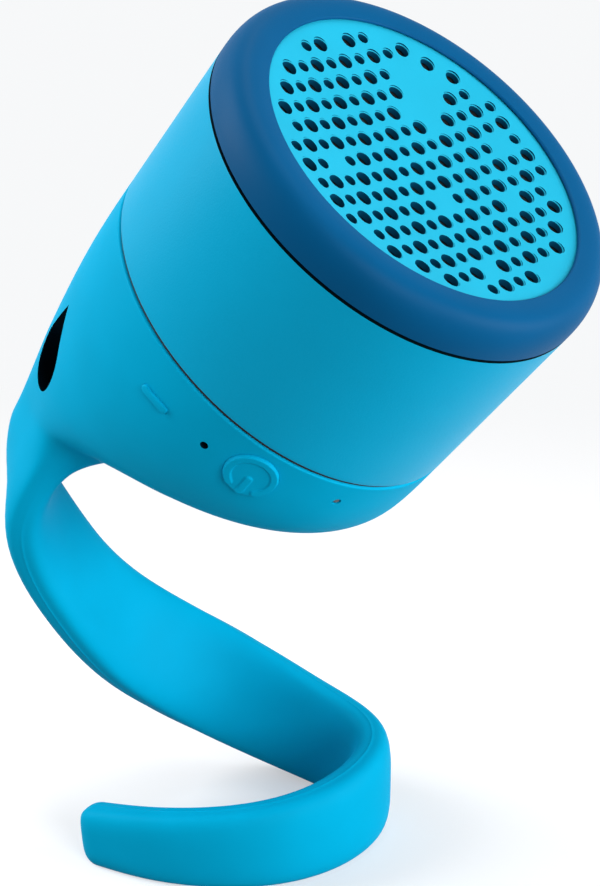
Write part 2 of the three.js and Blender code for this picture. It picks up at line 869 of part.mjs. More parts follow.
function roundedBar(sizeX, sizeY, radius) {
  const x = sizeX / 2 - radius;
  const y = sizeY / 2 - radius;
  const shape = new THREE.Shape();
  shape.absarc(x, -y, radius, -Math.PI / 2, 0);
  shape.absarc(x, y, radius, 0, Math.PI / 2);
  shape.absarc(-x, y, radius, Math.PI / 2, Math.PI);
  shape.absarc(-x, -y, radius, Math.PI, 1.5 * Math.PI);
  return shape;
}

// A shell open at the drum's wall, with a contact tongue inside
function usbSocket() {
  const outline = (grow) => (
    roundedBar(socketWidth + 2 * grow, socketHeight + 2 * grow, socketHeight / 2 + grow));
  const start = socketEnd - socketLength;
  const shell = solid(extruded(outline(0), start, socketEnd));
  const hollow = solid(extruded(outline(-socketWall), start + 2 * socketWall, socketEnd + overrun));
  const tongue = solid(block(tongueWidth, 2 * socketWall, start + socketWall, socketEnd - 2 * socketWall));
  return facing(geometryOf(join(cut(shell, hollow), tongue)), flapDeg, socketMiddle);
}

function buttonStrip() {
  const [from, to] = [degrees(stripFromDeg), degrees(stripToDeg)];
  const shape = new THREE.Shape();
  shape.absarc(0, 0, stripRadius, from, to);
  shape.absarc(0, 0, stripRadius - stripThickness, to, from, true);
  return extruded(shape, controlHeight - stripHeight / 2, controlHeight + stripHeight / 2, roundSides / 4);
}

function pressSwitch(angle) {
  const body = solid(block(switchSize, switchSize, switchRadius, switchRadius + switchDepth));
  const nub = solid(disc(nubRadius, switchRadius, nubEnd, smallSides));
  return facing(geometryOf(join(body, nub)), angle, controlHeight);
}

function addElectronics() {
  const canBottom = boardTop + gap;
  const can = block(canSize, canSize, canBottom, canBottom + canHeight).translate(canPlace, 0, 0);
  const cell = roundedBar(batteryLength, batteryWidth, batteryCorner);
  add(spin, 'main_board', mainBoard(), paint.board);
  add(spin, 'shield_can', can, paint.steel);
  add(spin, 'usb_socket', usbSocket(), paint.steel);
  add(spin, 'battery', extruded(cell, batteryBottom, batteryTop), paint.cell);
  add(spin, 'button_strip', buttonStrip(), paint.board);
  for (const { name, angle } of buttons) {
    add(spin, name.replace('button', 'switch'), pressSwitch(angle), paint.steel);
  }
  const sensor = block(microphoneSize, microphoneSize, switchRadius, switchRadius + microphoneDepth);
  const pipe = disc(lampRadius, switchRadius, bodyRadius, smallSides);
  add(spin, 'microphone', facing(sensor, microphoneDeg, controlHeight), paint.steel);
  add(spin, 'lamp_pipe', facing(pipe, lampDeg, controlHeight), paint.lamp);
}

// Buttons, each a cap in a window of the boot over its own switch

const roundShape = (radius) => roundedBar(2 * radius, 2 * radius, radius);
const barShape = (grow) => roundedBar(barLength + 2 * grow, barWidth + 2 * grow, barWidth / 2 + grow);

function plusShape(grow) {
  const half = barWidth / 2 + grow;
  const reach = barLength / 2 - barWidth / 2;
  const middle = new THREE.Vector2();
  const shape = new THREE.Shape();
  for (let arm = 0; arm < 4; arm++) {
    const turn = (arm * Math.PI) / 2;
    const end = new THREE.Vector2(reach, 0).rotateAround(middle, turn);
    const corner = new THREE.Vector2(half, half).rotateAround(middle, turn);
    shape.absarc(end.x, end.y, half, turn - Math.PI / 2, turn + Math.PI / 2);
    shape.lineTo(corner.x, corner.y);
  }
  return shape;
}

const buttons = [
  { name: 'power_button', angle: powerDeg, shape: (grow) => roundShape(powerRadius + grow) },
  { name: 'volume_down_button', angle: volumeDeg, shape: barShape },
  { name: 'volume_up_button', angle: -volumeDeg, shape: plusShape },
];

// A prism of a shape through the drum's wall
function wallPrism(shape, angle, height, from = stripRadius, to = bodyRadius + overrun) {
  return facing(extruded(shape, from, to), angle, height);
}

// An open ring and a bar, the opening away from the grille
function powerSymbol() {
  const inner = powerRadius - symbolStroke;
  const [from, to] = [degrees(symbolOpeningDeg - 90), degrees(270 - symbolOpeningDeg)];
  const arc = new THREE.Shape();
  arc.absarc(0, 0, powerRadius, from, to);
  arc.absarc(0, 0, inner, to, from, true);
  const bar = roundedBar(symbolStroke, powerRadius, symbolStroke / 2);
  const [low, high] = [controlHeight - powerRadius, controlHeight + powerRadius];
  const band = solid(ring(capFace + symbolRise, capFace - symbolRise, low, high));
  const arcDepth = extruded(arc, stripRadius, bodyRadius + overrun, smallSides);
  const arcPrism = facing(arcDepth, powerDeg, controlHeight);
  const barPrism = wallPrism(bar, powerDeg, controlHeight - powerRadius / 2);
  return join(solid(arcPrism), solid(barPrism)).intersect(band);
}

function button({ name, angle, shape }) {
  const reach = powerRadius + gap;
  const band = solid(ring(capFace, capBack, controlHeight - reach, controlHeight + reach));
  const cap = solid(wallPrism(shape(0), angle, controlHeight)).intersect(band);
  const stemShape = roundShape(buttonStem);
  const stem = solid(wallPrism(stemShape, angle, controlHeight, stemEnd, capBack + buttonRise));
  return name === 'power_button' ? join(cap, stem, powerSymbol()) : join(cap, stem);
}

// Charging port flap, hinged on its lower outer edge

const flapDeg = 180;
const flapShape = (grow) => roundedBar(flapWidth + 2 * grow, flapHeight + 2 * grow, flapCorner + grow);
const portShape = () => roundedBar(socketWidth + 2 * gap, socketHeight + 2 * gap, socketHeight / 2);

function portFlap() {
  const [low, high] = [flapMiddle - flapHeight, flapMiddle + flapHeight];
  const band = solid(ring(bodyRadius, bodyRadius - flapThickness, low, high));
  return solid(wallPrism(flapShape(0), flapDeg, flapMiddle)).intersect(band);
}

function flapRecess() {
  const [low, high] = [flapMiddle - flapHeight, flapMiddle + flapHeight];
  const inside = disc(bodyRadius - flapThickness - gap, low, high);
  return geometryOf(cut(solid(wallPrism(flapShape(gap), flapDeg, flapMiddle)), solid(inside)));
}

// Boot: a cup whose wall and floor run on into the root of the tail

// Points down the boot's skin at one angle: wall, corner, floor, throat and tail
function bootProfile(angle, throatPoint, throatUp) {
  const x = bodyRadius * Math.cos(angle);
  const y = bodyRadius * Math.sin(angle);
  const front = ((1 + Math.cos(angle)) / 2) ** 2;
  const web = rootOut.clone().multiplyScalar(-bootWeb * ((1 - Math.cos(angle)) / 2) ** 2);
  const throat = throatPoint.clone().addScaledVector(throatUp, bootThroat).add(web);
  const corner = fromDrum(x, y, -drumDepth).lerp(throat, bootFrontPullShare * front);
  return [
    fromDrum(x, y, seamHeight(x, y) - sealThickness - 2 * seamGap),
    fromDrum(x, y, -drumDepth + bootCorner),
    corner,
    corner.clone().lerp(throat, bootFloorShares[0]),
    corner.clone().lerp(throat, bootFloorShares[1]),
    throat,
    throat.clone().add(throatPoint).divideScalar(2),
    throatPoint,
  ];
}

function bootRings() {
  const frame = tailFrame(funnelEndShare);
  const up = frame.along.clone().negate();
  const profiles = sectionRing(frame, frame.thickness / 2, frame.width / 2, roundSides)
    .map((point, j) => bootProfile((2 * Math.PI * j) / roundSides, point, up));
  const rowShares = Array.from({ length: bootRows + 1 }, (_, i) => i / bootRows);
  return rowShares.map((share) => profiles.map((profile) => splined(profile, share)));
}

function teardrop() {
  const point = eyeLength - eyeRadius;
  const half = Math.acos(eyeRadius / point);
  const shape = new THREE.Shape();
  shape.absarc(0, 0, eyeRadius, half, 2 * Math.PI - half);
  shape.lineTo(point, 0);
  return shape;
}

// The eye runs from the root's outer face inwards and down, and out under the cup
function eyeTool() {
  const slope = degrees(eyeSlopeDeg);
  const up = new THREE.Vector3(-Math.sin(slope), 0, Math.cos(slope));
  const outward = new THREE.Vector3(Math.cos(slope), 0, Math.sin(slope));
  const basis = new THREE.Matrix4().makeBasis(up, new THREE.Vector3(0, -1, 0), outward);
  basis.multiply(new THREE.Matrix4().makeRotationZ(degrees(eyeTiltDeg)));
  basis.setPosition(bodyRadius - rootInset, 0, -drumDepth - eyeDrop);
  return extruded(teardrop(), -bodyRadius, bodyRadius, smallSides / 2).applyMatrix4(basis);
}

function boot() {
  const skin = solid(lofted([
    ...bootRings(),
    ...tailRings(funnelEndShare, bendShares.tail_bend_1, roundSides).slice(1),
  ]));
  const cavity = turned([
    [0, cavityFloor],
    [innerRadius - cavityChamfer, cavityFloor],
    [innerRadius, cavityFloor + cavityChamfer],
    [innerRadius, 0],
    [0, 0],
  ]);
  const tools = [
    cavity,
    ...buttons.map(({ angle, shape }) => wallPrism(shape(gap), angle, controlHeight)),
    wallPrism(roundShape(soundHole), microphoneDeg, controlHeight),
    wallPrism(roundShape(lampRadius + gap), lampDeg, controlHeight),
    wallPrism(portShape(), flapDeg, socketMiddle),
    flapRecess(),
    eyeTool(),
  ];
  const channel = coreTool(rootCoreShare, bendShares.tail_bend_1);
  return cut(skin, ...tools.map(inDrum), channel, knuckleTool('tail_bend_1'));
}

// Tail links: each starts with a half-round end that rolls in the hollow end of the one before

function knuckleTool(bend) {
  const frame = tailFrame(bendShares[bend]);
  const radius = frame.thickness / 2 + gap;
  const basis = new THREE.Matrix4().makeBasis(frame.out, frame.side, frame.out.clone().cross(frame.side));
  const geometry = new THREE.CylinderGeometry(radius, radius, frame.width + 2 * overrun, knuckleSides);
  return solid(geometry.applyMatrix4(basis.setPosition(frame.centre)));
}

// Even places along the course, shared by a core and its channel, so that both bend alike
function coreStations(start, end) {
  const step = inCourse(coreSpacing);
  const first = Math.ceil(start / step);
  const count = Math.floor(end / step) - first + 1;
  return [start, ...Array.from({ length: count }, (_, i) => (first + i) * step), end];
}

function coreRings(start, end, grow) {
  const [out, side] = [coreThickness / 2 + grow, coreWidth / 2 + grow];
  return coreStations(start, end).map((share) => {
    const frame = tailFrame(share);
    return [[-out, -side], [out, -side], [out, side], [-out, side]].map(([u, v]) => offset(frame, u, v));
  });
}

const coreTool = (start, end) => solid(lofted(coreRings(start, end, gap)));
const knuckleReach = inCourse(tailThickness / 2 + 2 * gap);

function addCore(name, start, end) {
  add(group, name, lofted(coreRings(start, end, 0)), paint.steel);
}

// The tail stands on a flat, where the ground cuts its lower edge
function groundTool() {
  return solid(block(groundSize, groundSize, -tailWidth, 0));
}

function tailLink(start, end) {
  const from = bendShares[start];
  const to = end ? bendShares[end] : 1;
  const rings = [...knuckleRings(from, tailSides), ...tailRings(from, to, tailSides)];
  const skin = solid(lofted(end ? rings : [...rings, ...tipRings(tailSides)]));
  const channel = coreTool(from - knuckleReach, to);
  return cut(skin, channel, ...(end ? [knuckleTool(end)] : []), groundTool());
}

const linkNames = ['tail_link_1', 'tail_link_2', 'tail_link_3', 'tail_base', 'tail_tip'];

function addTail() {
  const bends = Object.keys(bendShares);
  linkNames.forEach((name, i) => {
    const [start, end] = [bends[i], bends[i + 1]];
    const frame = tailFrame(bendShares[start]);
    const coreEnd = end ? bendShares[end] - knuckleReach : 1 - inCourse(gap);
    add(group, name, tailLink(start, end), paint.silicone);
    pivot(group, start, frame.side, frame.centre);
    addCore(`${name}_core`, bendShares[start] - knuckleReach / 2, coreEnd);
  });
  addCore('root_core', rootCoreShare + inCourse(gap), bendShares.tail_bend_1 - knuckleReach);
}

add(spin, 'bezel_ring', bezelRing(), paint.bezel);
add(spin, 'grille', grille(), paint.grille);
add(spin, 'grille_mesh', grilleMesh(), paint.foam);
add(spin, 'baffle_gasket', baffleGasket(), paint.foam);
add(spin, 'sleeve', slanted(ring(bodyRadius, innerRadius, -seamGap, 0)), paint.satin);
add(spin, 'rear_seal', rearSeal(), paint.foam);
add(spin, 'housing_tub', housingTub(), paint.plastic);
add(spin, 'baffle', baffle(), paint.plastic);
addDriver();
addScrews();
addElectronics();
for (const kind of buttons) {
  add(spin, kind.name, button(kind), paint.silicone);
  const turn = degrees(kind.angle);
  const inwards = new THREE.Vector3(-Math.cos(turn), -Math.sin(turn), 0);
  const place = inwards.clone().multiplyScalar(-bodyRadius).setZ(controlHeight);
  pivot(spin, `${kind.name}_press`, inwards, place);
}
add(spin, 'port_flap', portFlap(), paint.silicone);
pivot(spin, 'port_flap_hinge', new THREE.Vector3(0, -1, 0),
  new THREE.Vector3(-bodyRadius, 0, flapMiddle - flapHeight / 2));
add(group, 'boot', boot(), paint.silicone);
addTail();

// The origin is the middle of the whole outline, on the ground
const bounds = new THREE.Box3().setFromObject(group, true);
group.position.set(-(bounds.min.x + bounds.max.x) / 2, -(bounds.min.y + bounds.max.y) / 2, 0);

export default group;
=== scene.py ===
"""The looks of a small portable speaker on a bendable tail that coils into its own stand.

Sizes are in millimetres in the drum's and the tail's own frames, and meshes are made in metres.
"""
import json
import math

import bmesh
import bpy
import numpy as np
from mathutils import Matrix, Vector
from mathutils.kdtree import KDTree


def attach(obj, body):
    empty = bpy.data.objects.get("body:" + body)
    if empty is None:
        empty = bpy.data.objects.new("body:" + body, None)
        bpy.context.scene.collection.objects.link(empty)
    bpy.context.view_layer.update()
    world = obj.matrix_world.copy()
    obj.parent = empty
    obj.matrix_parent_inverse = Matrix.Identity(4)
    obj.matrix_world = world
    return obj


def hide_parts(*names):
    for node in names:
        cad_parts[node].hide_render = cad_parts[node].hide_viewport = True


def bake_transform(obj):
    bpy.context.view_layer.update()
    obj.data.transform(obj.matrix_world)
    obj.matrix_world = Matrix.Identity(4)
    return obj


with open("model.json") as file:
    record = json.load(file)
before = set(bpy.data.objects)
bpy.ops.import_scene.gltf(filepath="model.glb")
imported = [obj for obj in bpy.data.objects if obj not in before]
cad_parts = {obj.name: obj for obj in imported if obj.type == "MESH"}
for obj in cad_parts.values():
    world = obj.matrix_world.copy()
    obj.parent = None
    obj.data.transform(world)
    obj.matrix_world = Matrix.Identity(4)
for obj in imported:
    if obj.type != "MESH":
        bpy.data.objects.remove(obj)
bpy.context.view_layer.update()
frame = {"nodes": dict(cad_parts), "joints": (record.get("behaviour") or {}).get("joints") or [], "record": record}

MM = 0.001

# The drum's shell, with a softer throat than the solid's
GAP = 0.3
SEAM_GAP = 0.2
BODY_RADIUS = 37.5
INNER_RADIUS = 35.7
SEAM_RISE = 4.35
SEAM_TURN = math.radians(15)
SEAL_THICKNESS = 0.5
DRUM_DEPTH = 55.5
BOOT_HEIGHT = 19.7
BOOT_FLOOR = 1.6
BOOT_CORNER = 6
BOOT_THROAT = 6.5
BOOT_WEB = 15
CAVITY_CHAMFER = 6
CAVITY_MARGIN = 0.3
BOOT_RIM_EDGE = 0.4
BOOT_FLOOR_SHARES = (0.21, 0.83)
BOOT_FRONT_PULL_SHARE = 0.5
BOOT_FRONT_POWER = 1.2
BOOT_FLOW = math.radians(15)
FUNNEL_END_SHARE = 0.132
END_PLACE = (1.7, 9.4, 91.4)
LEAN = math.radians(41.4)
LEAN_TOWARDS = math.radians(-39.8)
DRUM_TURN = math.radians(-126.7)
SLEEVE_EDGE = 0.35
SLEEVE_COLLAR = 0.9
SEAL_CLEARANCE = 0.03
SEAL_INSET = 0.1

# Bezel and grille
BEZEL_HEIGHT = 7.3
BEZEL_WIDTH = 7.15
BEZEL_LIP = 0.5
BEZEL_CROWN_SHARE = 0.4
BEZEL_POWER = 2.4
BEZEL_SOFT = 0.5
SKIRT_DEPTH = 3.2
GRILLE_TOP = 6.2
GRILLE_THICKNESS = 1.2
GRILLE_OVERLAP = 1.95
DISH_RADIUS = 155
HOLE_PITCH = 5.28
LARGE_HOLE = 2.7
SMALL_HOLE = 2.0
HOLE_FLARE = 0.22
FIELD_IN_PITCHES = 5.16
FIELD_TURN = math.radians(-9.3)
CLOSED_LARGE = {(-3, -3), (-1, 1), (0, -3), (0, -4), (1, -4), (3, 2)}
CLOSED_SMALL = {
    (-5, 2), (-4, -1), (-3, 3), (-1, -5), (-1, -4), (-1, -3), (0, -5), (0, -4), (0, -3), (3, -4),
}

# Controls on the boot
CONTROL_RISE = 14.2
POWER_ANGLE = math.radians(75.5)
VOLUME_ANGLE = math.radians(43.7)
MICROPHONE_ANGLE = math.radians(61.1)
LAMP_ANGLE = math.radians(101.6)
POWER_RADIUS = 4.8
BAR_LENGTH = 6.2
BAR_WIDTH = 1.5
BUTTON_RISE = 0.4
CAP_BACK = 35.9
CAP_EDGE = 0.3
CAP_CLEARANCE = 0.06
SYMBOL_STROKE = 1.5
SYMBOL_RISE = 0.3
SYMBOL_OPENING = math.radians(38)
SYMBOL_SOFT = (-0.28, 0.12)
BAR_CROWN = 0.1
SOUND_HOLE = 0.75
LAMP_RADIUS = 0.6
LAMP_SINK = 0.15
LAMP_DOME = 0.15
LAMP_BACK = 31.2

# Charging port and its flap
SOCKET_WIDTH = 9
SOCKET_HEIGHT = 3.2
SOCKET_MIDDLE = -44.7
FLAP_WIDTH = 12
FLAP_HEIGHT = 6
FLAP_THICKNESS = 1.1
FLAP_CORNER = 1
FLAP_GAP = 0.15
FLAP_EDGE = 0.25
FLAP_DROP = 0.7
FLAP_MIDDLE = SOCKET_MIDDLE - FLAP_DROP
FLAP_RING_SHARES = (0.04, 0.96)

# Teardrop eye
EYE_LENGTH = 16.5
EYE_RADIUS = 6
EYE_DROP = 11.9
EYE_SLOPE = math.radians(24)
EYE_TILT = math.radians(12)
EYE_SOFT = 1.1
EYE_SOFT_REACH = 26
EYE_SOFT_TURNS = 6

# Cuts, and the faces in them that get a darker colour as painted shade
PUNCH_FROM = 30
CUT_PAST = 4
GRILLE_PUNCH_DEPTH = 6
EYE_WALL_DEPTH = 0.12
EYE_WALL_SLOPE = 0.35
SOUND_WALL_DEPTH = 0.1
SOUND_WALL_SLOPE = 0.5
HOLE_WALL_SLOPE = 0.5
LINE_DEPTH = 1
LINE_SLOPE = 0.15

# Tail
COIL_REACH = 29.2
COIL_DEPTH = 26
COIL_DROP = 32.7
ROOT_INSET = 5.2
ROOT_GAP = 8.5
ROOT_RUN = 15.5
TAIL_WIDTH = 24.4
TAIL_THICKNESS = 9
TIP_ROUND = 4.2
TIP_FLAT = 0.1
STAND_FLAT = 0.5
SECTION_POWER = 3.5
COURSE_STEPS = 400
TAIL_COURSE_SHARES = (
    (-1.46, 0.37, 1),
    (-1.18, 0.44, 0.671),
    (-0.83, 0.78, 0.372),
    (-0.25, 0.98, 0.165),
    (0.44, 0.82, 0),
    (1.03, 0.24, 0),
    (0.75, -0.47, 0),
    (0.19, -0.8, 0),
    (-0.48, -0.715, 0),
    (-0.89, -0.47, 0),
)
UPRIGHT_SHARES = (0, 0.1, 0.3, 0.6, 0.95, 1, 1, 1)
WIDTH_SHARES = (1, 0.95, 0.93, 0.76, 0.5)
THICKNESS_SHARES = (1, 0.94, 0.89, 0.83, 0.78)
BENDS = (
    ("tail_bend_1", 0.2, "drum", "tail_link_1"),
    ("tail_bend_2", 0.31, "tail_link_1", "tail_link_2"),
    ("tail_bend_3", 0.43, "tail_link_2", "tail_link_3"),
    ("tail_bend_4", 0.56, "tail_link_3", "tail_base"),
    ("tail_bend_5", 0.84, "tail_base", "tail_tip"),
)
BEND_REACH = 9
PARTING_RISE = 0.14
PARTING_HALF_WIDTH = 0.35
PARTING_FADE = 12

# Counts
AROUND = 192
SKIN_SIDES = 160
BOOT_ROWS = 96
THROAT_FROM_SHARE = 0.4
THROAT_TO_ROW = 12
THROAT_TURNS = 180
THROAT_SIDE_POWER = 0.6
TAIL_ROW_SPACING = 1.6
TIP_ROWS = 14
FILLET_STEPS = 5
HOLE_SIDES = 28
SMALL_SIDES = 32
FLARE_STEPS = 4
GRILLE_RINGS = 44
SLEEVE_ROWS = 40
BEZEL_OUTER_STEPS = 40
BEZEL_LIP_STEPS = 7
BEZEL_TOP_STEPS = 12
EYE_ROUND_STEPS = 60
EYE_SIDE_STEPS = 12
EYE_LEVELS = 110
RECESS_COLUMNS = 25
POWER_CAP_RINGS = 56
BAR_CAP_RINGS = 12
LAMP_DOME_STEPS = 6
FLAP_FACE_RINGS = 16
FLAP_BACK_RINGS = 12

# Angles from which an edge is shaded sharp
SHARP = math.radians(35)
BOOT_SHARP = math.radians(40)
GRILLE_SHARP = math.radians(30)
RIM_SHARP = math.radians(30)

SLEEVE_LENGTH = DRUM_DEPTH - BOOT_HEIGHT
CONTROL_HEIGHT = -DRUM_DEPTH + CONTROL_RISE
BEZEL_INNER = BODY_RADIUS - BEZEL_WIDTH
GRILLE_RADIUS = BEZEL_INNER + GRILLE_OVERLAP
EYE_MIDDLE = np.array((BODY_RADIUS - ROOT_INSET, 0, -DRUM_DEPTH - EYE_DROP))


# Splines and frames

def splined(values, shares):
    """A uniform cubic spline through numbers or points, at shares of its course."""
    values = np.asarray(values, float)
    padded = np.concatenate([2 * values[:1] - values[1:2], values, 2 * values[-1:] - values[-2:-1]])
    last = len(values) - 1
    at = np.clip(np.atleast_1d(np.asarray(shares, float)), 0, 1) * last
    index = np.minimum(at.astype(int), last - 1)
    f = at - index
    weights = ((1 - f) ** 3, 3 * f**3 - 6 * f**2 + 4, -3 * f**3 + 3 * f**2 + 3 * f + 1, f**3)
    shape = (-1,) + (1,) * (values.ndim - 1)
    return sum(w.reshape(shape) * padded[index + k] for k, w in enumerate(weights)) / 6


def unit(vectors):
    return vectors / np.linalg.norm(vectors, axis=-1, keepdims=True)


def dot(a, b):
    return np.sum(a * b, axis=-1, keepdims=True)


def drum_matrix():
    turn = Matrix.Rotation(LEAN_TOWARDS, 4, "Z") @ Matrix.Rotation(LEAN, 4, "Y")
    turn = turn @ Matrix.Translation((0, 0, DRUM_DEPTH)) @ Matrix.Rotation(DRUM_TURN, 4, "Z")
    return np.array(Matrix.Translation(END_PLACE) @ turn)


DRUM = drum_matrix()


def from_drum(points):
    return np.asarray(points, float) @ DRUM[:3, :3].T + DRUM[:3, 3]


def course_points():
    start = from_drum((BODY_RADIUS - ROOT_INSET - TAIL_THICKNESS / 2, 0, -DRUM_DEPTH - ROOT_GAP))
    points = [start, start - DRUM[:3, 2] * ROOT_RUN]
    coil_rise = END_PLACE[2] - COIL_DROP
    for i, (side, back, rise) in enumerate(TAIL_COURSE_SHARES):
        share = (i + 2) / (len(TAIL_COURSE_SHARES) + 1)
        width = splined(WIDTH_SHARES, share)[0] * TAIL_WIDTH
        points.append((side * COIL_REACH, back * COIL_DEPTH, rise * coil_rise + width / 2 - STAND_FLAT))
    return np.array(points)


COURSE = course_points()
SAMPLES = splined(COURSE, np.linspace(0, 1, COURSE_STEPS + 1))
COURSE_LENGTH = np.linalg.norm(np.diff(SAMPLES, axis=0), axis=1).sum()


def tail_frames(shares):
    """The tail's middle, directions and size at shares of its course."""
    shares = np.atleast_1d(np.asarray(shares, float))
    step = 1 / COURSE_STEPS
    along = unit(splined(COURSE, shares + step) - splined(COURSE, shares - step))
    upright = np.clip(splined(UPRIGHT_SHARES, shares), 0, 1)[:, None]
    side = DRUM[:3, 1] * (1 - upright) + np.array((0, 0, -1.0)) * upright
    side = unit(side - along * dot(side, along))
    return {
        "centre": splined(COURSE, shares),
        "along": along,
        "side": side,
        "out": np.cross(along, side),
        "width": splined(WIDTH_SHARES, shares) * TAIL_WIDTH,
        "thickness": splined(THICKNESS_SHARES, shares) * TAIL_THICKNESS,
    }


def origin_shift():
    """The frame's origin in the drawing's frame, from the place of a joint that both know."""
    name, share, _, _ = BENDS[3]
    joint = next(j for j in frame["joints"] if j["name"] == name)
    return tail_frames(share)["centre"][0] - np.array(joint["pos_m"]) / MM


SHIFT = origin_shift()


def to_metres(points):
    return (np.asarray(points, float) - SHIFT) * MM


# Meshes

def signed_volume(points, faces):
    total = 0
    for face in faces:
        a = points[face[0]]
        for i in range(1, len(face) - 1):
            total += np.dot(a, np.cross(points[face[i]], points[face[i + 1]]))
    return total


def make_object(name, points, faces):
    """An object from points in millimetres, its faces turned outwards."""
    points = to_metres(points)
    if signed_volume(points - points.mean(0), faces) < 0:
        faces = [face[::-1] for face in faces]
    mesh = bpy.data.meshes.new(name)
    mesh.from_pydata(points.tolist(), [], faces)
    mesh.shade_smooth()
    mesh.set_sharp_from_angle(angle=SHARP)
    piece = bpy.data.objects.new(name, mesh)
    bpy.context.scene.collection.objects.link(piece)
    return piece


def grid_faces(rows, sides, wrap_rows=False, caps=True):
    """Quads through rows of a ring of points, closed by a cap at each end or into a loop."""
    faces = []
    for i in range(rows if wrap_rows else rows - 1):
        a, b = i * sides, ((i + 1) % rows) * sides
        faces += [[a + j, a + (j + 1) % sides, b + (j + 1) % sides, b + j] for j in range(sides)]
    if caps and not wrap_rows:
        faces.append([j for j in reversed(range(sides))])
        faces.append([(rows - 1) * sides + j for j in range(sides)])
    return faces


def filleted(corners):
    """A closed outline with each corner [x, y, radius] rounded by its radius."""
    outline = []
    count = len(corners)
    for i, (x, y, radius) in enumerate(corners):
        here = np.array((x, y), float)
        if radius == 0:
            outline.append(here)
            continue
        before = unit(np.array(corners[i - 1][:2], float) - here)
        after = unit(np.array(corners[(i + 1) % count][:2], float) - here)
        half = math.acos(np.clip(before @ after, -1, 1)) / 2
        middle = here + unit(before + after) * radius / math.sin(half)
        start, end = here + before * radius / math.tan(half), here + after * radius / math.tan(half)
        a, b = start - middle, end - middle
        sweep = math.atan2(a[0] * b[1] - a[1] * b[0], a @ b)
        for turn in np.arange(FILLET_STEPS + 1) * sweep / FILLET_STEPS:
            c, s = math.cos(turn), math.sin(turn)
            outline.append(middle + np.array((c * a[0] - s * a[1], s * a[0] + c * a[1])))
    return np.array(outline)


def lathed(name, outline):
    """A ring turned round Z from a closed outline of (radius, height) points."""
    angles = np.linspace(0, 2 * np.pi, AROUND, endpoint=False)
    rings = np.array([[(r * np.cos(t), r * np.sin(t), z) for t in angles] for r, z in outline])
    faces = grid_faces(len(outline), AROUND, wrap_rows=True)
    return make_object(name, from_drum(rings.reshape(-1, 3)), faces)


def turned_solid(name, outline, sides=AROUND, place=from_drum):
    """A body turned round Z from an outline that starts and ends on the axis."""
    inner = outline[1:-1]
    angles = np.linspace(0, 2 * np.pi, sides, endpoint=False)
    rings = [[(r * math.cos(t), r * math.sin(t), z) for t in angles] for r, z in inner]
    points = [point for ring in rings for point in ring]
    faces = grid_faces(len(inner), sides, caps=False)
    for row, (_, height) in ((0, outline[0]), (len(inner) - 1, outline[-1])):
        points.append((0, 0, height))
        faces += [[row * sides + j, row * sides + (j + 1) % sides, len(points) - 1][:: -1 if row else 1]
                  for j in range(sides)]
    walls = (len(inner) - 1) * sides
    faces = [face[::-1] for face in faces[:walls]] + faces[walls:]
    return make_object(name, place(np.array(points)), faces)


def prism(name, outline, bottom, top, place):
    """A straight body from a flat outline, from one height to another."""
    rings = np.array([[(x, y, z) for x, y in outline] for z in (bottom, top)])
    return make_object(name, place(rings.reshape(-1, 3)), grid_faces(2, len(outline)))


def carved(piece, *tools):
    """Takes the tools out of the piece and deletes them."""
    for tool in tools:
        modifier = piece.modifiers.new("cut", "BOOLEAN")
        modifier.operation = "DIFFERENCE"
        modifier.solver = "MANIFOLD"
        modifier.object = tool
    bpy.context.view_layer.update()
    graph = bpy.context.evaluated_depsgraph_get()
    mesh = bpy.data.meshes.new_from_object(piece.evaluated_get(graph))
    piece.modifiers.clear()
    piece.data = mesh
    for tool in tools:
        bpy.data.objects.remove(tool)
    return piece


# Materials

MOTTLE_MM = 14
NOISE_RANGE = (0.3, 0.7)
ROUGHNESS_SWING = 0.05


def linear(red, green, blue):
    """A colour written as screen values from 0 to 255, as light."""
    shares = [value / 255 for value in (red, green, blue)]
    return [s / 12.92 if s <= 0.04045 else ((s + 0.055) / 1.055) ** 2.4 for s in shares] + [1]


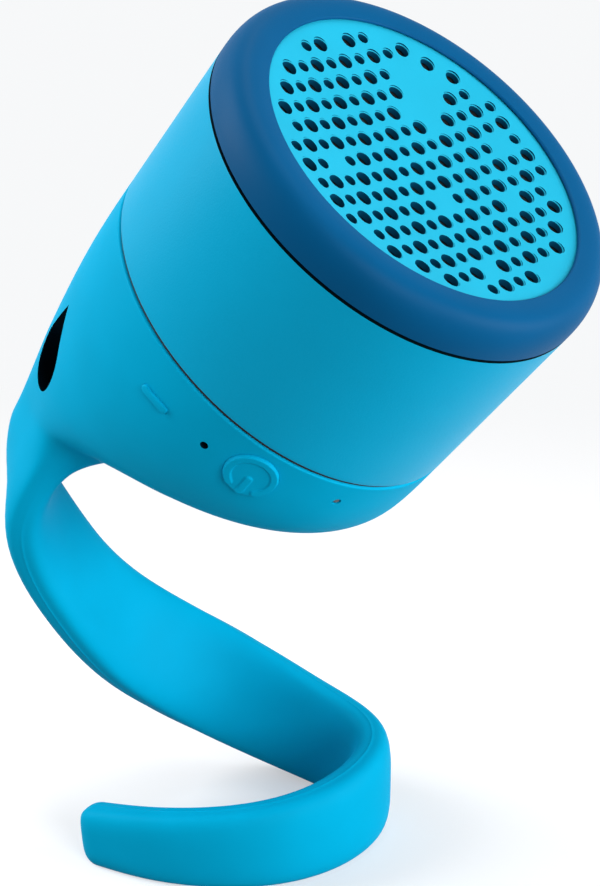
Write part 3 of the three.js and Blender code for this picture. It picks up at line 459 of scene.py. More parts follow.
def moulded(name, colour, roughness, grain_mm=0.4, grain=0.1, metallic=0.0, coat=0.0, mottle=0.05,
            speckle=0.0, shine=0.5):
    """A surface whose colour, gloss and height vary with a fine grain and a broad mottle."""
    made = bpy.data.materials.new(name)
    made.use_nodes = True
    nodes, links = made.node_tree.nodes, made.node_tree.links
    shader = nodes["Principled BSDF"]
    shader.inputs["Metallic"].default_value = metallic
    shader.inputs["Coat Weight"].default_value = coat
    shader.inputs["Specular IOR Level"].default_value = shine
    place = nodes.new("ShaderNodeTexCoord")

    def noise(size_mm, detail):
        node = nodes.new("ShaderNodeTexNoise")
        node.inputs["Scale"].default_value = 1 / (size_mm * MM)
        node.inputs["Detail"].default_value = detail
        links.new(place.outputs["Object"], node.inputs["Vector"])
        return node.outputs["Fac"]

    def ranged(value, low, high):
        node = nodes.new("ShaderNodeMapRange")
        node.inputs["From Min"].default_value = NOISE_RANGE[0]
        node.inputs["From Max"].default_value = NOISE_RANGE[1]
        node.inputs["To Min"].default_value = low
        node.inputs["To Max"].default_value = high
        links.new(value, node.inputs["Value"])
        return node.outputs["Result"]

    fine, broad = noise(grain_mm, 3), noise(MOTTLE_MM, 2)
    shade = nodes.new("ShaderNodeMix")
    shade.data_type = "RGBA"
    tone = linear(*colour)
    shade.inputs["A"].default_value = [c * (1 - mottle) for c in tone[:3]] + [1]
    shade.inputs["B"].default_value = [min(1, c * (1 + mottle)) for c in tone[:3]] + [1]
    links.new(ranged(broad, 0, 1), shade.inputs["Factor"])
    colour_out = shade.outputs["Result"]
    if speckle:
        flecks = nodes.new("ShaderNodeMix")
        flecks.data_type = "RGBA"
        bright = [min(1, c * (1 + speckle) + speckle / 9) for c in tone[:3]]
        flecks.inputs["B"].default_value = bright + [1]
        links.new(ranged(fine, 0, 1), flecks.inputs["Factor"])
        links.new(colour_out, flecks.inputs["A"])
        colour_out = flecks.outputs["Result"]
    links.new(colour_out, shader.inputs["Base Color"])
    gloss = ranged(fine, roughness - ROUGHNESS_SWING, roughness + ROUGHNESS_SWING)
    links.new(gloss, shader.inputs["Roughness"])
    bump = nodes.new("ShaderNodeBump")
    bump.inputs["Strength"].default_value = grain
    bump.inputs["Distance"].default_value = grain_mm * MM / 4
    links.new(fine, bump.inputs["Height"])
    links.new(bump.outputs["Normal"], shader.inputs["Normal"])
    return made


FINISHES = {
    "blue_silicone": moulded("blue_silicone", (0, 164, 207), 0.55, 0.25, 0.12, mottle=0.03, shine=0.02),
    "satin_blue": moulded("satin_blue", (0, 164, 207), 0.42, 0.35, 0.3, mottle=0.03,
                          speckle=0.01, shine=0.05),
    "deep_blue": moulded("deep_blue", (0, 80, 127), 0.5, 0.25, 0.12, mottle=0.03, shine=0.05),
    "grille_blue": moulded("grille_blue", (30, 167, 200), 0.5, 0.25, 0.12, mottle=0.03, shine=0.06),
    # Painted shade: the next three colours darken the walls of openings, the grille's holes and the sleeve's top
    # edge
    "eye_shade": moulded("eye_shade", (0, 22, 34), 0.8, 0.25, 0.12, shine=0.02),
    "hole_shade": moulded("hole_shade", (0, 66, 96), 0.7, 0.25, 0.12, shine=0.05),
    "line_shade": moulded("line_shade", (0, 12, 18), 0.8, 0.25, 0.12, shine=0.02),
    "black_foam": moulded("black_foam", (16, 17, 20), 0.92, 0.5, 0.6, mottle=0.2),
    "grey_plastic": moulded("grey_plastic", (40, 44, 50), 0.6, 0.4, 0.2),
    "black_rubber": moulded("black_rubber", (24, 25, 27), 0.7, 0.5, 0.2),
    "cone_paper": moulded("cone_paper", (34, 34, 36), 0.88, 0.6, 0.5, mottle=0.15),
    "copper_wire": moulded("copper_wire", (190, 104, 52), 0.35, 0.2, 0.4, metallic=0.9),
    "ferrite": moulded("ferrite", (44, 44, 46), 0.8, 0.3, 0.4),
    "board_green": moulded("board_green", (22, 92, 60), 0.45, 0.8, 0.15, mottle=0.1),
    "cell_wrap": moulded("cell_wrap", (70, 120, 175), 0.35, 1.5, 0.15),
    "lamp_clear": moulded("lamp_clear", (30, 44, 52), 0.25, 0.5, 0.05, coat=0.5),
    "steel": moulded("steel", (160, 163, 168), 0.36, 0.3, 0.15, metallic=0.95),
}


def dress(piece, slot, body=None):
    piece.data.materials.clear()
    piece.data.materials.append(FINISHES[slot])
    if body:
        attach(piece, body)
    return piece


def darken(piece, finish, chosen):
    """Gives the chosen faces, deep in an opening or a joint, a darker colour as painted shade."""
    piece.data.materials.append(FINISHES[finish])
    points = np.array([tuple(face.center) for face in piece.data.polygons]) / MM + SHIFT
    normals = np.array([tuple(face.normal) for face in piece.data.polygons])
    inverse = np.linalg.inv(DRUM)
    flags = chosen(points @ inverse[:3, :3].T + inverse[:3, 3], normals @ DRUM[:3, :3])
    for face, flag in zip(piece.data.polygons, flags):
        if flag:
            face.material_index = 1


def dress_cad_nodes():
    for part in frame["record"]["subparts"]:
        piece = frame["nodes"][part["node"]]
        for place in piece.material_slots:
            place.link = "OBJECT"
            place.material = FINISHES[part["material_slot"]]


# Camera, floor and light

SENSOR_MM = 36
FOCAL_PIXELS = 1800
PICTURE_HEIGHT = 886
CAMERA_PLACE = (12, -312, 194.8)
CAMERA_DOWN_DEG = 20
BACKDROP = (0.93, 0.94, 0.95, 1)
SKY = (0.93, 0.97, 1, 1)
SKY_STRENGTH = 0.2
FLOOR_SIZE = 12
FLOOR_FADE = (0.06, 0.3)
FLOOR_SEEN = 0.6
FLOOR_GLOW = (0.42, 0.42, 0.43, 1)
FLOOR_BOUNCE = 0.3
LAMP_TARGET = (0, 0, 0.09)


def camera():
    data = bpy.data.cameras.new("camera")
    data.sensor_width = SENSOR_MM
    data.lens = FOCAL_PIXELS / PICTURE_HEIGHT * data.sensor_width
    eye = bpy.data.objects.new("camera", data)
    bpy.context.scene.collection.objects.link(eye)
    eye.location = to_metres(CAMERA_PLACE)
    eye.rotation_euler = (math.radians(90 - CAMERA_DOWN_DEG), 0, 0)
    bpy.context.scene.camera = eye


def lamp(name, place, size, watts):
    data = bpy.data.lights.new(name, "AREA")
    data.shape = "RECTANGLE"
    data.size, data.size_y = size
    data.energy = watts
    light = bpy.data.objects.new(name, data)
    bpy.context.scene.collection.objects.link(light)
    light.location = place
    towards = Vector(LAMP_TARGET) - Vector(place)
    light.rotation_euler = towards.to_track_quat("-Z", "Y").to_euler()


def straight_rays(nodes, links):
    """1 for the rays that show the floor and backdrop: seen, mirrored or through glass."""
    path = nodes.new("ShaderNodeLightPath")
    whole = path.outputs["Is Camera Ray"]
    for kind in ("Is Glossy Ray", "Is Transmission Ray"):
        most = nodes.new("ShaderNodeMath")
        most.operation = "MAXIMUM"
        links.new(whole, most.inputs[0])
        links.new(path.outputs[kind], most.inputs[1])
        whole = most.outputs["Value"]
    return whole


def floor_finish():
    """A pale floor that keeps the object's shadow near it and fades to white further out."""
    finish = bpy.data.materials.new("pale_floor")
    finish.use_nodes = True
    nodes, links = finish.node_tree.nodes, finish.node_tree.links
    nodes.remove(nodes["Principled BSDF"])

    def diffuse(level):
        node = nodes.new("ShaderNodeBsdfDiffuse")
        node.inputs["Color"].default_value = (level, level, level, 1)
        return node.outputs["BSDF"]

    def mixed(factor, first, second):
        node = nodes.new("ShaderNodeMixShader")
        links.new(factor, node.inputs["Fac"])
        links.new(first, node.inputs[1])
        links.new(second, node.inputs[2])
        return node.outputs["Shader"]

    def glowing(colour):
        node = nodes.new("ShaderNodeEmission")
        node.inputs["Color"].default_value = colour
        return node.outputs["Emission"]

    place = nodes.new("ShaderNodeTexCoord")
    away = nodes.new("ShaderNodeVectorMath")
    away.operation = "LENGTH"
    links.new(place.outputs["Object"], away.inputs[0])
    fade = nodes.new("ShaderNodeMapRange")
    fade.interpolation_type = "SMOOTHSTEP"
    fade.inputs["From Min"].default_value = FLOOR_FADE[0]
    fade.inputs["From Max"].default_value = FLOOR_FADE[1]
    links.new(away.outputs["Value"], fade.inputs["Value"])
    near = nodes.new("ShaderNodeAddShader")
    links.new(diffuse(FLOOR_SEEN), near.inputs[0])
    links.new(glowing(FLOOR_GLOW), near.inputs[1])
    seen = mixed(fade.outputs["Result"], near.outputs["Shader"], glowing(BACKDROP))
    whole = mixed(straight_rays(nodes, links), diffuse(FLOOR_BOUNCE), seen)
    links.new(whole, nodes["Material Output"].inputs["Surface"])
    return finish


def studio():
    bpy.ops.mesh.primitive_plane_add(size=FLOOR_SIZE)
    floor = bpy.context.object
    floor.name = "floor"
    floor.data.materials.append(floor_finish())

    world = bpy.data.worlds.new("world")
    bpy.context.scene.world = world
    world.use_nodes = True
    nodes, links = world.node_tree.nodes, world.node_tree.links
    background = nodes["Background"]
    background.inputs["Color"].default_value = SKY
    background.inputs["Strength"].default_value = SKY_STRENGTH
    seen = nodes.new("ShaderNodeBackground")
    seen.inputs["Color"].default_value = BACKDROP
    mix = nodes.new("ShaderNodeMixShader")
    links.new(straight_rays(nodes, links), mix.inputs["Fac"])
    links.new(background.outputs["Background"], mix.inputs[1])
    links.new(seen.outputs["Background"], mix.inputs[2])
    links.new(mix.outputs["Shader"], nodes["World Output"].inputs["Surface"])

    lamp("left", (-0.6, 0.1, 0.45), (0.4, 0.5), 5.3)
    lamp("front", (0.4, -0.7, 0.35), (0.4, 0.4), 4.4)
    lamp("right", (0.6, -0.15, 0.15), (0.3, 0.3), 2.8)
    lamp("top", (0.1, 0.1, 0.75), (0.4, 0.4), 2)
    bpy.context.scene.view_settings.view_transform = "Standard"


# The silicone skin: the boot's cup, the throat and the whole tail as one surface

def rounded(value):
    return np.sign(value) * np.abs(value) ** (2 / SECTION_POWER)


def skin_angles():
    """Even steps round the skin, and close ones either side of the two edges' parting line."""
    even = np.linspace(0, 2 * np.pi, SKIN_SIDES, endpoint=False)
    half = TAIL_THICKNESS / 2
    offsets = [(at / half) ** (SECTION_POWER / 2) for at in
               (PARTING_HALF_WIDTH / 3, PARTING_HALF_WIDTH, 2 * PARTING_HALF_WIDTH)]
    close = [edge + sign * offset for edge in (np.pi / 2, 3 * np.pi / 2) for offset in offsets
             for sign in (-1, 1)]
    return np.unique(np.concatenate([even, close]))


ANGLES = skin_angles()


def sections(shares, drawn=0.0, ahead=0.0, parting=1.0):
    """Rings of the tail's section, with a fine raised line along the middle of each edge."""
    f = tail_frames(shares)
    thick = f["thickness"][:, None] / 2 - np.reshape(drawn, (-1, 1))
    wide = f["width"][:, None] / 2 - np.reshape(drawn, (-1, 1))
    across = rounded(np.cos(ANGLES))[None, :] * thick
    sideways = rounded(np.sin(ANGLES))[None, :] * wide
    near = np.clip(1 - np.abs(across) / PARTING_HALF_WIDTH, 0, 1)
    line = PARTING_RISE * near * np.reshape(parting, (-1, 1))
    sideways += np.sign(np.sin(ANGLES))[None, :] * line * (np.abs(np.sin(ANGLES)) > 0.5)
    centre = f["centre"] + f["along"] * np.reshape(ahead, (-1, 1))
    return (centre[:, None, :] + f["out"][:, None, :] * across[:, :, None]
            + f["side"][:, None, :] * sideways[:, :, None])


def seam_height(x, y):
    lean = x * math.cos(SEAM_TURN) + y * math.sin(SEAM_TURN)
    return -SLEEVE_LENGTH + SEAM_RISE * lean / BODY_RADIUS


def boot_rings():
    """Rows down the cup's wall, round its corner and along its floor into the tail."""
    f = tail_frames(FUNNEL_END_SHARE)
    up = -f["along"][0]
    ends = sections(FUNNEL_END_SHARE, parting=0)[0]
    around = ANGLES - BOOT_FLOW * np.sin(ANGLES)
    x, y = BODY_RADIUS * np.cos(around), BODY_RADIUS * np.sin(around)
    front = ((1 + np.cos(ANGLES)) / 2) ** BOOT_FRONT_POWER
    back = ((1 - np.cos(ANGLES)) / 2) ** 2
    throat = ends + up * BOOT_THROAT - DRUM[:3, 0] * (BOOT_WEB * back)[:, None]
    rim = seam_height(x, y) - SEAL_THICKNESS - 2 * SEAM_GAP
    low = np.full_like(x, -DRUM_DEPTH)
    corner = from_drum(np.stack([x, y, low], 1))
    corner += (throat - corner) * (BOOT_FRONT_PULL_SHARE * front)[:, None]
    profile = np.stack([
        from_drum(np.stack([x, y, rim], 1)),
        from_drum(np.stack([x, y, low + BOOT_CORNER], 1)),
        corner,
        corner + (throat - corner) * BOOT_FLOOR_SHARES[0],
        corner + (throat - corner) * BOOT_FLOOR_SHARES[1],
        throat,
        (throat + ends) / 2,
        ends,
    ])
    edge = BOOT_RIM_EDGE
    wall = np.linalg.norm(profile[1] - profile[0], axis=1).mean()
    first = np.linspace(0, edge, FILLET_STEPS) / wall / (len(profile) - 1)
    shares = np.concatenate([first, np.linspace(first[-1], 1, BOOT_ROWS)[1:]])
    rows = splined(profile, shares)
    depth = dot(rows[0] - rows[: len(first)], DRUM[:3, 2])[:, :, 0]
    inset = edge - np.sqrt(np.clip(edge**2 - np.clip(edge - depth, 0, edge) ** 2, 0, None))
    outward = DRUM[:3, 0] * np.cos(around)[:, None] + DRUM[:3, 1] * np.sin(around)[:, None]
    rows[: len(first)] -= outward[None] * inset[:, :, None]
    return rows


def eased(rows, first, last):
    """Rows relaxed into a smooth saddle between two of them, most on the side under the cup."""
    place = np.clip((np.arange(len(rows)) - first) / (last - first), 0, 1)
    under = ((1 - np.cos(ANGLES)) / 2) ** THROAT_SIDE_POWER
    pull = 0.5 * (np.sin(np.pi * place) ** 2)[:, None, None] * under[None, :, None]
    for _ in range(THROAT_TURNS):
        for axis in (0, 1):
            middle = (np.roll(rows, 1, axis=axis) + np.roll(rows, -1, axis=axis)) / 2
            rows = rows + (middle - rows) * pull
    return rows


def skin_rows():
    """All rings of the skin, and the row at which each body's piece ends."""
    boot = boot_rings()
    ends = [(FUNNEL_END_SHARE + BENDS[0][1]) / 2]
    ends += [(a[1] + b[1]) / 2 for a, b in zip(BENDS, BENDS[1:])] + [1]
    rings, cuts, start = [boot], [], FUNNEL_END_SHARE
    for end in ends:
        steps = max(3, math.ceil((end - start) * COURSE_LENGTH / TAIL_ROW_SPACING))
        shares = np.linspace(start, end, steps + 1)[1:]
        fade = np.clip((shares - FUNNEL_END_SHARE) * COURSE_LENGTH / PARTING_FADE, 0, 1)
        rings.append(sections(shares, parting=fade))
        cuts.append(sum(len(r) for r in rings) - 1)
        start = end
    reach = np.sin(np.pi / 2 * np.arange(1, TIP_ROWS + 1) / TIP_ROWS)
    half = tail_frames(1)["thickness"][0] / 2
    drawn = (half - TIP_FLAT) * (1 - np.sqrt(1 - reach**2))
    ones = np.ones(TIP_ROWS)
    rings.append(sections(ones, drawn, TIP_ROUND * reach, 1 - reach))
    cuts[-1] += TIP_ROWS
    whole = eased(np.concatenate(rings), len(boot) * THROAT_FROM_SHARE, len(boot) + THROAT_TO_ROW)
    whole[:, :, 2] = np.maximum(whole[:, :, 2], 0)
    return whole, cuts


def ring_normals(rings):
    along = np.gradient(rings, axis=0)
    around = np.roll(rings, -1, axis=1) - np.roll(rings, 1, axis=1)
    normals = unit(np.cross(around, along) + 1e-12)
    outward = rings - rings.mean(axis=1, keepdims=True)
    if np.sum(dot(normals, outward)) < 0:
        normals = -normals
    return normals


def skin_piece(name, rings, normals):
    """A closed piece of the skin that keeps the whole skin's shading at its ends."""
    rows, sides = rings.shape[:2]
    piece = make_object(name, rings.reshape(-1, 3), grid_faces(rows, sides))
    mesh = piece.data
    flat = normals.reshape(-1, 3)
    loops = []
    for face in mesh.polygons:
        cap = len(face.vertices) > 4
        loops += [tuple(face.normal) if cap else tuple(flat[v]) for v in face.vertices]
    mesh.normals_split_custom_set(loops)
    return piece


def facing(angle, height):
    """Places points drawn with Z out of the drum, X along the wall and Y up."""
    def place(points):
        points = np.asarray(points, float)
        c, s = math.cos(angle), math.sin(angle)
        x, y, z = points[:, 2], points[:, 0], points[:, 1] + height
        return from_drum(np.stack([c * x - s * y, s * x + c * y, z], 1))
    return place


def bar_outline(length, width, radius, steps=6):
    x, y = length / 2 - radius, width / 2 - radius
    points = []
    for k, (cx, cy) in enumerate(((x, -y), (x, y), (-x, y), (-x, -y))):
        for i in range(steps + 1):
            angle = -np.pi / 2 + (k + i / steps) * np.pi / 2
            points.append((cx + radius * math.cos(angle), cy + radius * math.sin(angle)))
    return points


def round_outline(radius, sides=64):
    return [(radius * math.cos(2 * np.pi * i / sides), radius * math.sin(2 * np.pi * i / sides))
            for i in range(sides)]


def bar_radius(angles, grow=0.0):
    """How far a bar with round ends reaches at each angle from its middle."""
    half, width = BAR_LENGTH / 2 - BAR_WIDTH / 2, BAR_WIDTH / 2 + grow
    c, s = np.abs(np.cos(angles)), np.abs(np.sin(angles))
    straight = width / np.maximum(s, 1e-9)
    inside = np.maximum(width**2 - (half * s) ** 2, 0)
    round_end = half * c + np.sqrt(inside)
    return np.where(straight * c <= half, straight, round_end)


def plus_radius(angles, grow=0.0):
    return np.maximum(bar_radius(angles, grow), bar_radius(angles + np.pi / 2, grow))


def polar_outline(reach, sides=96):
    angles = np.linspace(0, 2 * np.pi, sides, endpoint=False)
    r = reach(angles)
    return [(a * math.cos(t), a * math.sin(t)) for a, t in zip(r, angles)]


def eye_cutter():
    """The teardrop, wide end down, from the root's outer face to under the cup."""
    point = EYE_LENGTH - EYE_RADIUS
    half = math.acos(EYE_RADIUS / point)
    sweep = np.linspace(half, 2 * np.pi - half, EYE_ROUND_STEPS)
    outline = [(EYE_RADIUS * math.cos(t), EYE_RADIUS * math.sin(t)) for t in sweep]
    last = np.array(outline[-1])
    tip = np.array((point, 0.0))
    side = [last + (tip - last) * k / EYE_SIDE_STEPS for k in range(1, EYE_SIDE_STEPS + 1)]
    outline += [tuple(p) for p in side] + [(p[0], -p[1]) for p in reversed(side[:-1])]
    up, across, outward = eye_axes()
    levels = np.linspace(-BODY_RADIUS, BODY_RADIUS, EYE_LEVELS)
    rings = np.array([[EYE_MIDDLE + up * u + across * v + outward * w for u, v in outline]
                      for w in levels])
    return make_object("eye", from_drum(rings.reshape(-1, 3)), grid_faces(len(levels), len(outline)))


def eye_axes():
    level = np.array((-math.sin(EYE_SLOPE), 0, math.cos(EYE_SLOPE)))
    aside = np.array((0, 1, 0))
    up = level * math.cos(EYE_TILT) - aside * math.sin(EYE_TILT)
    across = -level * math.sin(EYE_TILT) - aside * math.cos(EYE_TILT)
    return up, across, np.array((math.cos(EYE_SLOPE), 0, math.sin(EYE_SLOPE)))


def on_eye_wall(place, normal):
    """True for the faces that lie on the eye's own wall, past its soft rim."""
    up, across, outward = eye_axes()
    away = place - EYE_MIDDLE
    u, v = away @ up, np.abs(away @ across)
    half = math.acos(EYE_RADIUS / (EYE_LENGTH - EYE_RADIUS))
    straight = u * math.cos(half) + v * math.sin(half)
    reach = np.where(np.arctan2(v, u) < half, straight, np.hypot(u, v))
    on_wall = np.abs(reach - EYE_RADIUS) < EYE_WALL_DEPTH
    return on_wall & (np.abs(normal @ outward) < EYE_WALL_SLOPE)


def on_sound_hole(place, normal):
    """True for the faces on the wall of the microphone's hole."""
    radial = np.array((math.cos(MICROPHONE_ANGLE), math.sin(MICROPHONE_ANGLE), 0))
    around = place @ np.array((-radial[1], radial[0], 0))
    away = np.hypot(around, place[:, 2] - CONTROL_HEIGHT)
    on_wall = (away < SOUND_HOLE + SOUND_WALL_DEPTH) & (place @ radial > 0)
    return on_wall & (np.abs(normal @ radial) < SOUND_WALL_SLOPE)


def on_boot_opening(place, normal):
    return on_eye_wall(place, normal) | on_sound_hole(place, normal)


def boot_cutters():
    floor, reach = -DRUM_DEPTH + BOOT_FLOOR, INNER_RADIUS
    cavity = turned_solid("cavity", [
        (0, floor), (reach - CAVITY_CHAMFER, floor), (reach, floor + CAVITY_CHAMFER),
        (reach, CUT_PAST), (0, CUT_PAST),
    ])
    low, high = PUNCH_FROM, BODY_RADIUS + CUT_PAST
    at_height = CONTROL_HEIGHT
    slim = CAP_CLEARANCE
    recess = make_object("recess", *flap_recess())
    return [
        cavity,
        prism("power", round_outline(POWER_RADIUS + slim), low, high, facing(POWER_ANGLE, at_height)),
        prism("minus", polar_outline(lambda t: bar_radius(t, slim)), low, high,
              facing(VOLUME_ANGLE, at_height)),
        prism("plus", polar_outline(lambda t: plus_radius(t, slim)), low, high,
              facing(-VOLUME_ANGLE, at_height)),
        prism("sound", round_outline(SOUND_HOLE, SMALL_SIDES), low, high,
              facing(MICROPHONE_ANGLE, at_height)),
        prism("lamp", round_outline(LAMP_RADIUS + SEAM_GAP, SMALL_SIDES), low, high,
              facing(LAMP_ANGLE, at_height)),
        prism("port", bar_outline(SOCKET_WIDTH + 2 * GAP, SOCKET_HEIGHT + 2 * GAP, SOCKET_HEIGHT / 2),
              low, high, facing(math.pi, SOCKET_MIDDLE)),
        recess,
        eye_cutter(),
    ]


def wrapped(outline, radius):
    """Depth along Z at which a flat outline meets a cylinder of this radius round the drum."""
    return np.sqrt(radius**2 - np.array(outline)[:, 0] ** 2)


def flap_recess():
    """A tray behind the flap whose floor follows the drum's wall."""
    columns = np.linspace(-1, 1, RECESS_COLUMNS)
    half_x, half_y = FLAP_WIDTH / 2 + FLAP_GAP, FLAP_HEIGHT / 2 + FLAP_GAP
    floor_radius = BODY_RADIUS - FLAP_THICKNESS - GAP
    inset = FLAP_CORNER + FLAP_GAP
    rings = []
    for u in columns:
        x = u * half_x
        over = max(0, abs(x) - (half_x - inset))
        y = half_y - inset + math.sqrt(max(inset**2 - over**2, 0))
        z = math.sqrt(floor_radius**2 - x**2)
        top = BODY_RADIUS + CUT_PAST
        rings.append([(x, -y, z), (x, y, z), (x, y, top), (x, -y, top)])
    points = facing(math.pi, FLAP_MIDDLE)(np.array(rings).reshape(-1, 3))
    return points, grid_faces(len(rings), 4)


def soften_eye(piece):
    """Softens the eye's rims by relaxing the skin beside them. The rims' own points stay."""
    work = bmesh.new()
    work.from_mesh(piece.data)
    near = Vector(to_metres(from_drum(EYE_MIDDLE)))
    sharp = [e for e in work.edges if e.is_manifold and e.calc_face_angle() > RIM_SHARP
             and (e.verts[0].co - near).length < EYE_SOFT_REACH * MM]
    cavity_radius = INNER_RADIUS + CAVITY_MARGIN
    cavity_floor = -DRUM_DEPTH + BOOT_FLOOR - CAVITY_MARGIN
    inverse = np.linalg.inv(DRUM)

    def outside_cavity(vertex):
        x, y, z = (np.array(vertex.co) / MM + SHIFT) @ inverse[:3, :3].T + inverse[:3, 3]
        return math.hypot(x, y) > cavity_radius or z < cavity_floor

    tree = KDTree(2 * len(sharp))
    count = 0
    for edge in sharp:
        for vertex in edge.verts:
            if outside_cavity(vertex):
                tree.insert(vertex.co, count)
                count += 1
    tree.balance()
    if count:
        chosen = [v for v in work.verts
                  if 0 < tree.find(v.co)[2] < EYE_SOFT * MM and outside_cavity(v)]
        for _ in range(EYE_SOFT_TURNS):
            bmesh.ops.smooth_vert(work, verts=chosen, factor=0.5, use_axis_x=True, use_axis_y=True,
                                  use_axis_z=True)
    work.to_mesh(piece.data)
    work.free()


def restore_shading(piece, rings, normals):
    """Gives the carved boot the smooth skin's normals wherever its corners still lie on the skin."""
    points = to_metres(rings.reshape(-1, 3))
    flat = normals.reshape(-1, 3)
    tree = KDTree(len(points))
    for i, point in enumerate(points):
        tree.insert(point, i)
    tree.balance()
    mesh = piece.data
    found = [tree.find(v.co) for v in mesh.vertices]
    corners = np.zeros(len(mesh.loops) * 3)
    mesh.corner_normals.foreach_get("vector", corners)
    corners = corners.reshape(-1, 3)
    for loop in mesh.loops:
        _, index, distance = found[loop.vertex_index]
        if distance < 2e-7 and corners[loop.index] @ flat[index] > 0.8:
            corners[loop.index] = flat[index]
    mesh.normals_split_custom_set(corners.tolist())


def make_skin():
    rings, cuts = skin_rows()
    normals = ring_normals(rings)
    boot_end = cuts[0]
    boot = make_object("boot_skin", rings[: boot_end + 1].reshape(-1, 3),
                       grid_faces(boot_end + 1, len(ANGLES)))
    carved(boot, *boot_cutters())
    soften_eye(boot)
    boot.data.shade_smooth()
    boot.data.set_sharp_from_angle(angle=BOOT_SHARP)
    restore_shading(boot, rings[: boot_end + 1], normals[: boot_end + 1])
    dress(boot, "blue_silicone", "drum")
    # Painted shade: the walls of the eye and of the microphone hole get a near-black colour
    darken(boot, "eye_shade", on_boot_opening)
    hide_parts("boot")
    for i, (_, share, before, after) in enumerate(BENDS):
        rows = slice(cuts[i], cuts[i + 1] + 1)
        piece = skin_piece(f"tail_skin_{i + 1}", rings[rows], normals[rows])
        dress(piece, "blue_silicone")
        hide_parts(after)
        f = tail_frames(share)
        start, end = (to_metres(f["centre"][0] + f["along"][0] * reach)
                      for reach in (-BEND_REACH, BEND_REACH))
        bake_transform(piece)


# The drum's rigid shells

# Faces on the sleeve's top fillet, which get a painted shadow line under the bezel
def on_sleeve_line(place, normal):
    return (place[:, 2] > -LINE_DEPTH) & (normal[:, 2] > LINE_SLOPE)


def make_sleeve():
    edge = SLEEVE_EDGE
    top = filleted([(INNER_RADIUS, -SLEEVE_COLLAR, 0), (BODY_RADIUS, -SLEEVE_COLLAR, 0),
                    (BODY_RADIUS, 0, edge), (INNER_RADIUS, 0, 0)])[1:]
    angles = np.linspace(0, 2 * np.pi, AROUND, endpoint=False)
    heights = np.linspace(0, 1, SLEEVE_ROWS)
    rings = []
    for angle in angles:
        c, s = math.cos(angle), math.sin(angle)
        bottom = seam_height(BODY_RADIUS * c, BODY_RADIUS * s) - SEAM_GAP
        wall = [(BODY_RADIUS, bottom + edge + (-SLEEVE_COLLAR - bottom - edge) * h) for h in heights]
        turn = [(BODY_RADIUS - edge + edge * math.cos(a), bottom + edge - edge * math.sin(a))
                for a in np.linspace(np.pi / 2, 0, FILLET_STEPS)[:-1]]
        outline = [(INNER_RADIUS, bottom), *turn, *wall, *map(tuple, top[1:])]
        rings.append([(r * c, r * s, z) for r, z in outline])
    rings = np.array(rings)
    sleeve = make_object("sleeve_shell", from_drum(rings.reshape(-1, 3)),
                         grid_faces(len(angles), rings.shape[1], wrap_rows=True))
    dress(sleeve, "satin_blue", "drum")
    # Painted shadow: the sleeve's top fillet under the bezel gets a near-black line
    darken(sleeve, "line_shade", on_sleeve_line)
    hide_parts("sleeve")
    seal = []
    for angle in angles:
        c, s = math.cos(angle), math.sin(angle)
        high = seam_height(BODY_RADIUS * c, BODY_RADIUS * s) - SEAM_GAP - SEAL_CLEARANCE
        low = high - SEAL_THICKNESS
        outer = BODY_RADIUS - GAP - SEAL_INSET
        seal.append([(r * c, r * s, z) for r, z in
                     ((INNER_RADIUS, low), (outer, low), (outer, high), (INNER_RADIUS, high))])
    seal = np.array(seal)
    ring = make_object("seam_seal", from_drum(seal.reshape(-1, 3)),
                       grid_faces(len(angles), 4, wrap_rows=True))
    dress(ring, "black_foam", "drum")
    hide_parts("rear_seal")


def make_bezel():
    crown = BEZEL_INNER + BEZEL_WIDTH * BEZEL_CROWN_SHARE
    outer = [(crown + (BODY_RADIUS - crown) * math.sin(t) ** (2 / BEZEL_POWER),
              GAP + (BEZEL_HEIGHT - GAP) * math.cos(t) ** (2 / BEZEL_POWER))
             for t in np.linspace(0, np.pi / 2, BEZEL_OUTER_STEPS)]
    lip_height = GRILLE_TOP + GAP + BEZEL_LIP
    soft = BEZEL_SOFT
    inner = [(BEZEL_INNER + soft * (1 - math.cos(t)), lip_height - soft + soft * math.sin(t))
             for t in np.linspace(0, np.pi / 2, BEZEL_LIP_STEPS)]
    rise = BEZEL_HEIGHT - lip_height
    top = [(BEZEL_INNER + soft + (crown - BEZEL_INNER - soft) * u,
            lip_height + rise * math.sin(u * np.pi / 2))
           for u in np.linspace(0, 1, BEZEL_TOP_STEPS)][1:-1]
    skirt_inner = GRILLE_RADIUS + GAP
    tub_radius = INNER_RADIUS - GAP
    base = [(tub_radius, GAP), (tub_radius, -SKIRT_DEPTH), (skirt_inner, -SKIRT_DEPTH),
            (skirt_inner, GRILLE_TOP + GAP), (BEZEL_INNER, GRILLE_TOP + GAP)]
    bezel = lathed("bezel_shell", [*inner, *top, *outer, *base])
    dress(bezel, "deep_blue", "drum")
    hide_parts("bezel_ring")


def dish_drop(radius):
    return (BEZEL_INNER**2 - np.minimum(radius, BEZEL_INNER) ** 2) / (2 * DISH_RADIUS)


def hole_places():
    reach = math.ceil(FIELD_IN_PITCHES)
    c, s = math.cos(FIELD_TURN), math.sin(FIELD_TURN)
    places = []
    for size, shift, closed in ((LARGE_HOLE, 0, CLOSED_LARGE), (SMALL_HOLE, 0.5, CLOSED_SMALL)):
        for column in range(-reach, reach + 1):
            for row in range(-reach, reach + 1):
                x, y = column + shift, row + shift
                if math.hypot(x, y) > FIELD_IN_PITCHES or (column, row) in closed:
                    continue
                places.append((HOLE_PITCH * (c * x - s * y), HOLE_PITCH * (s * x + c * y), size))
    return places


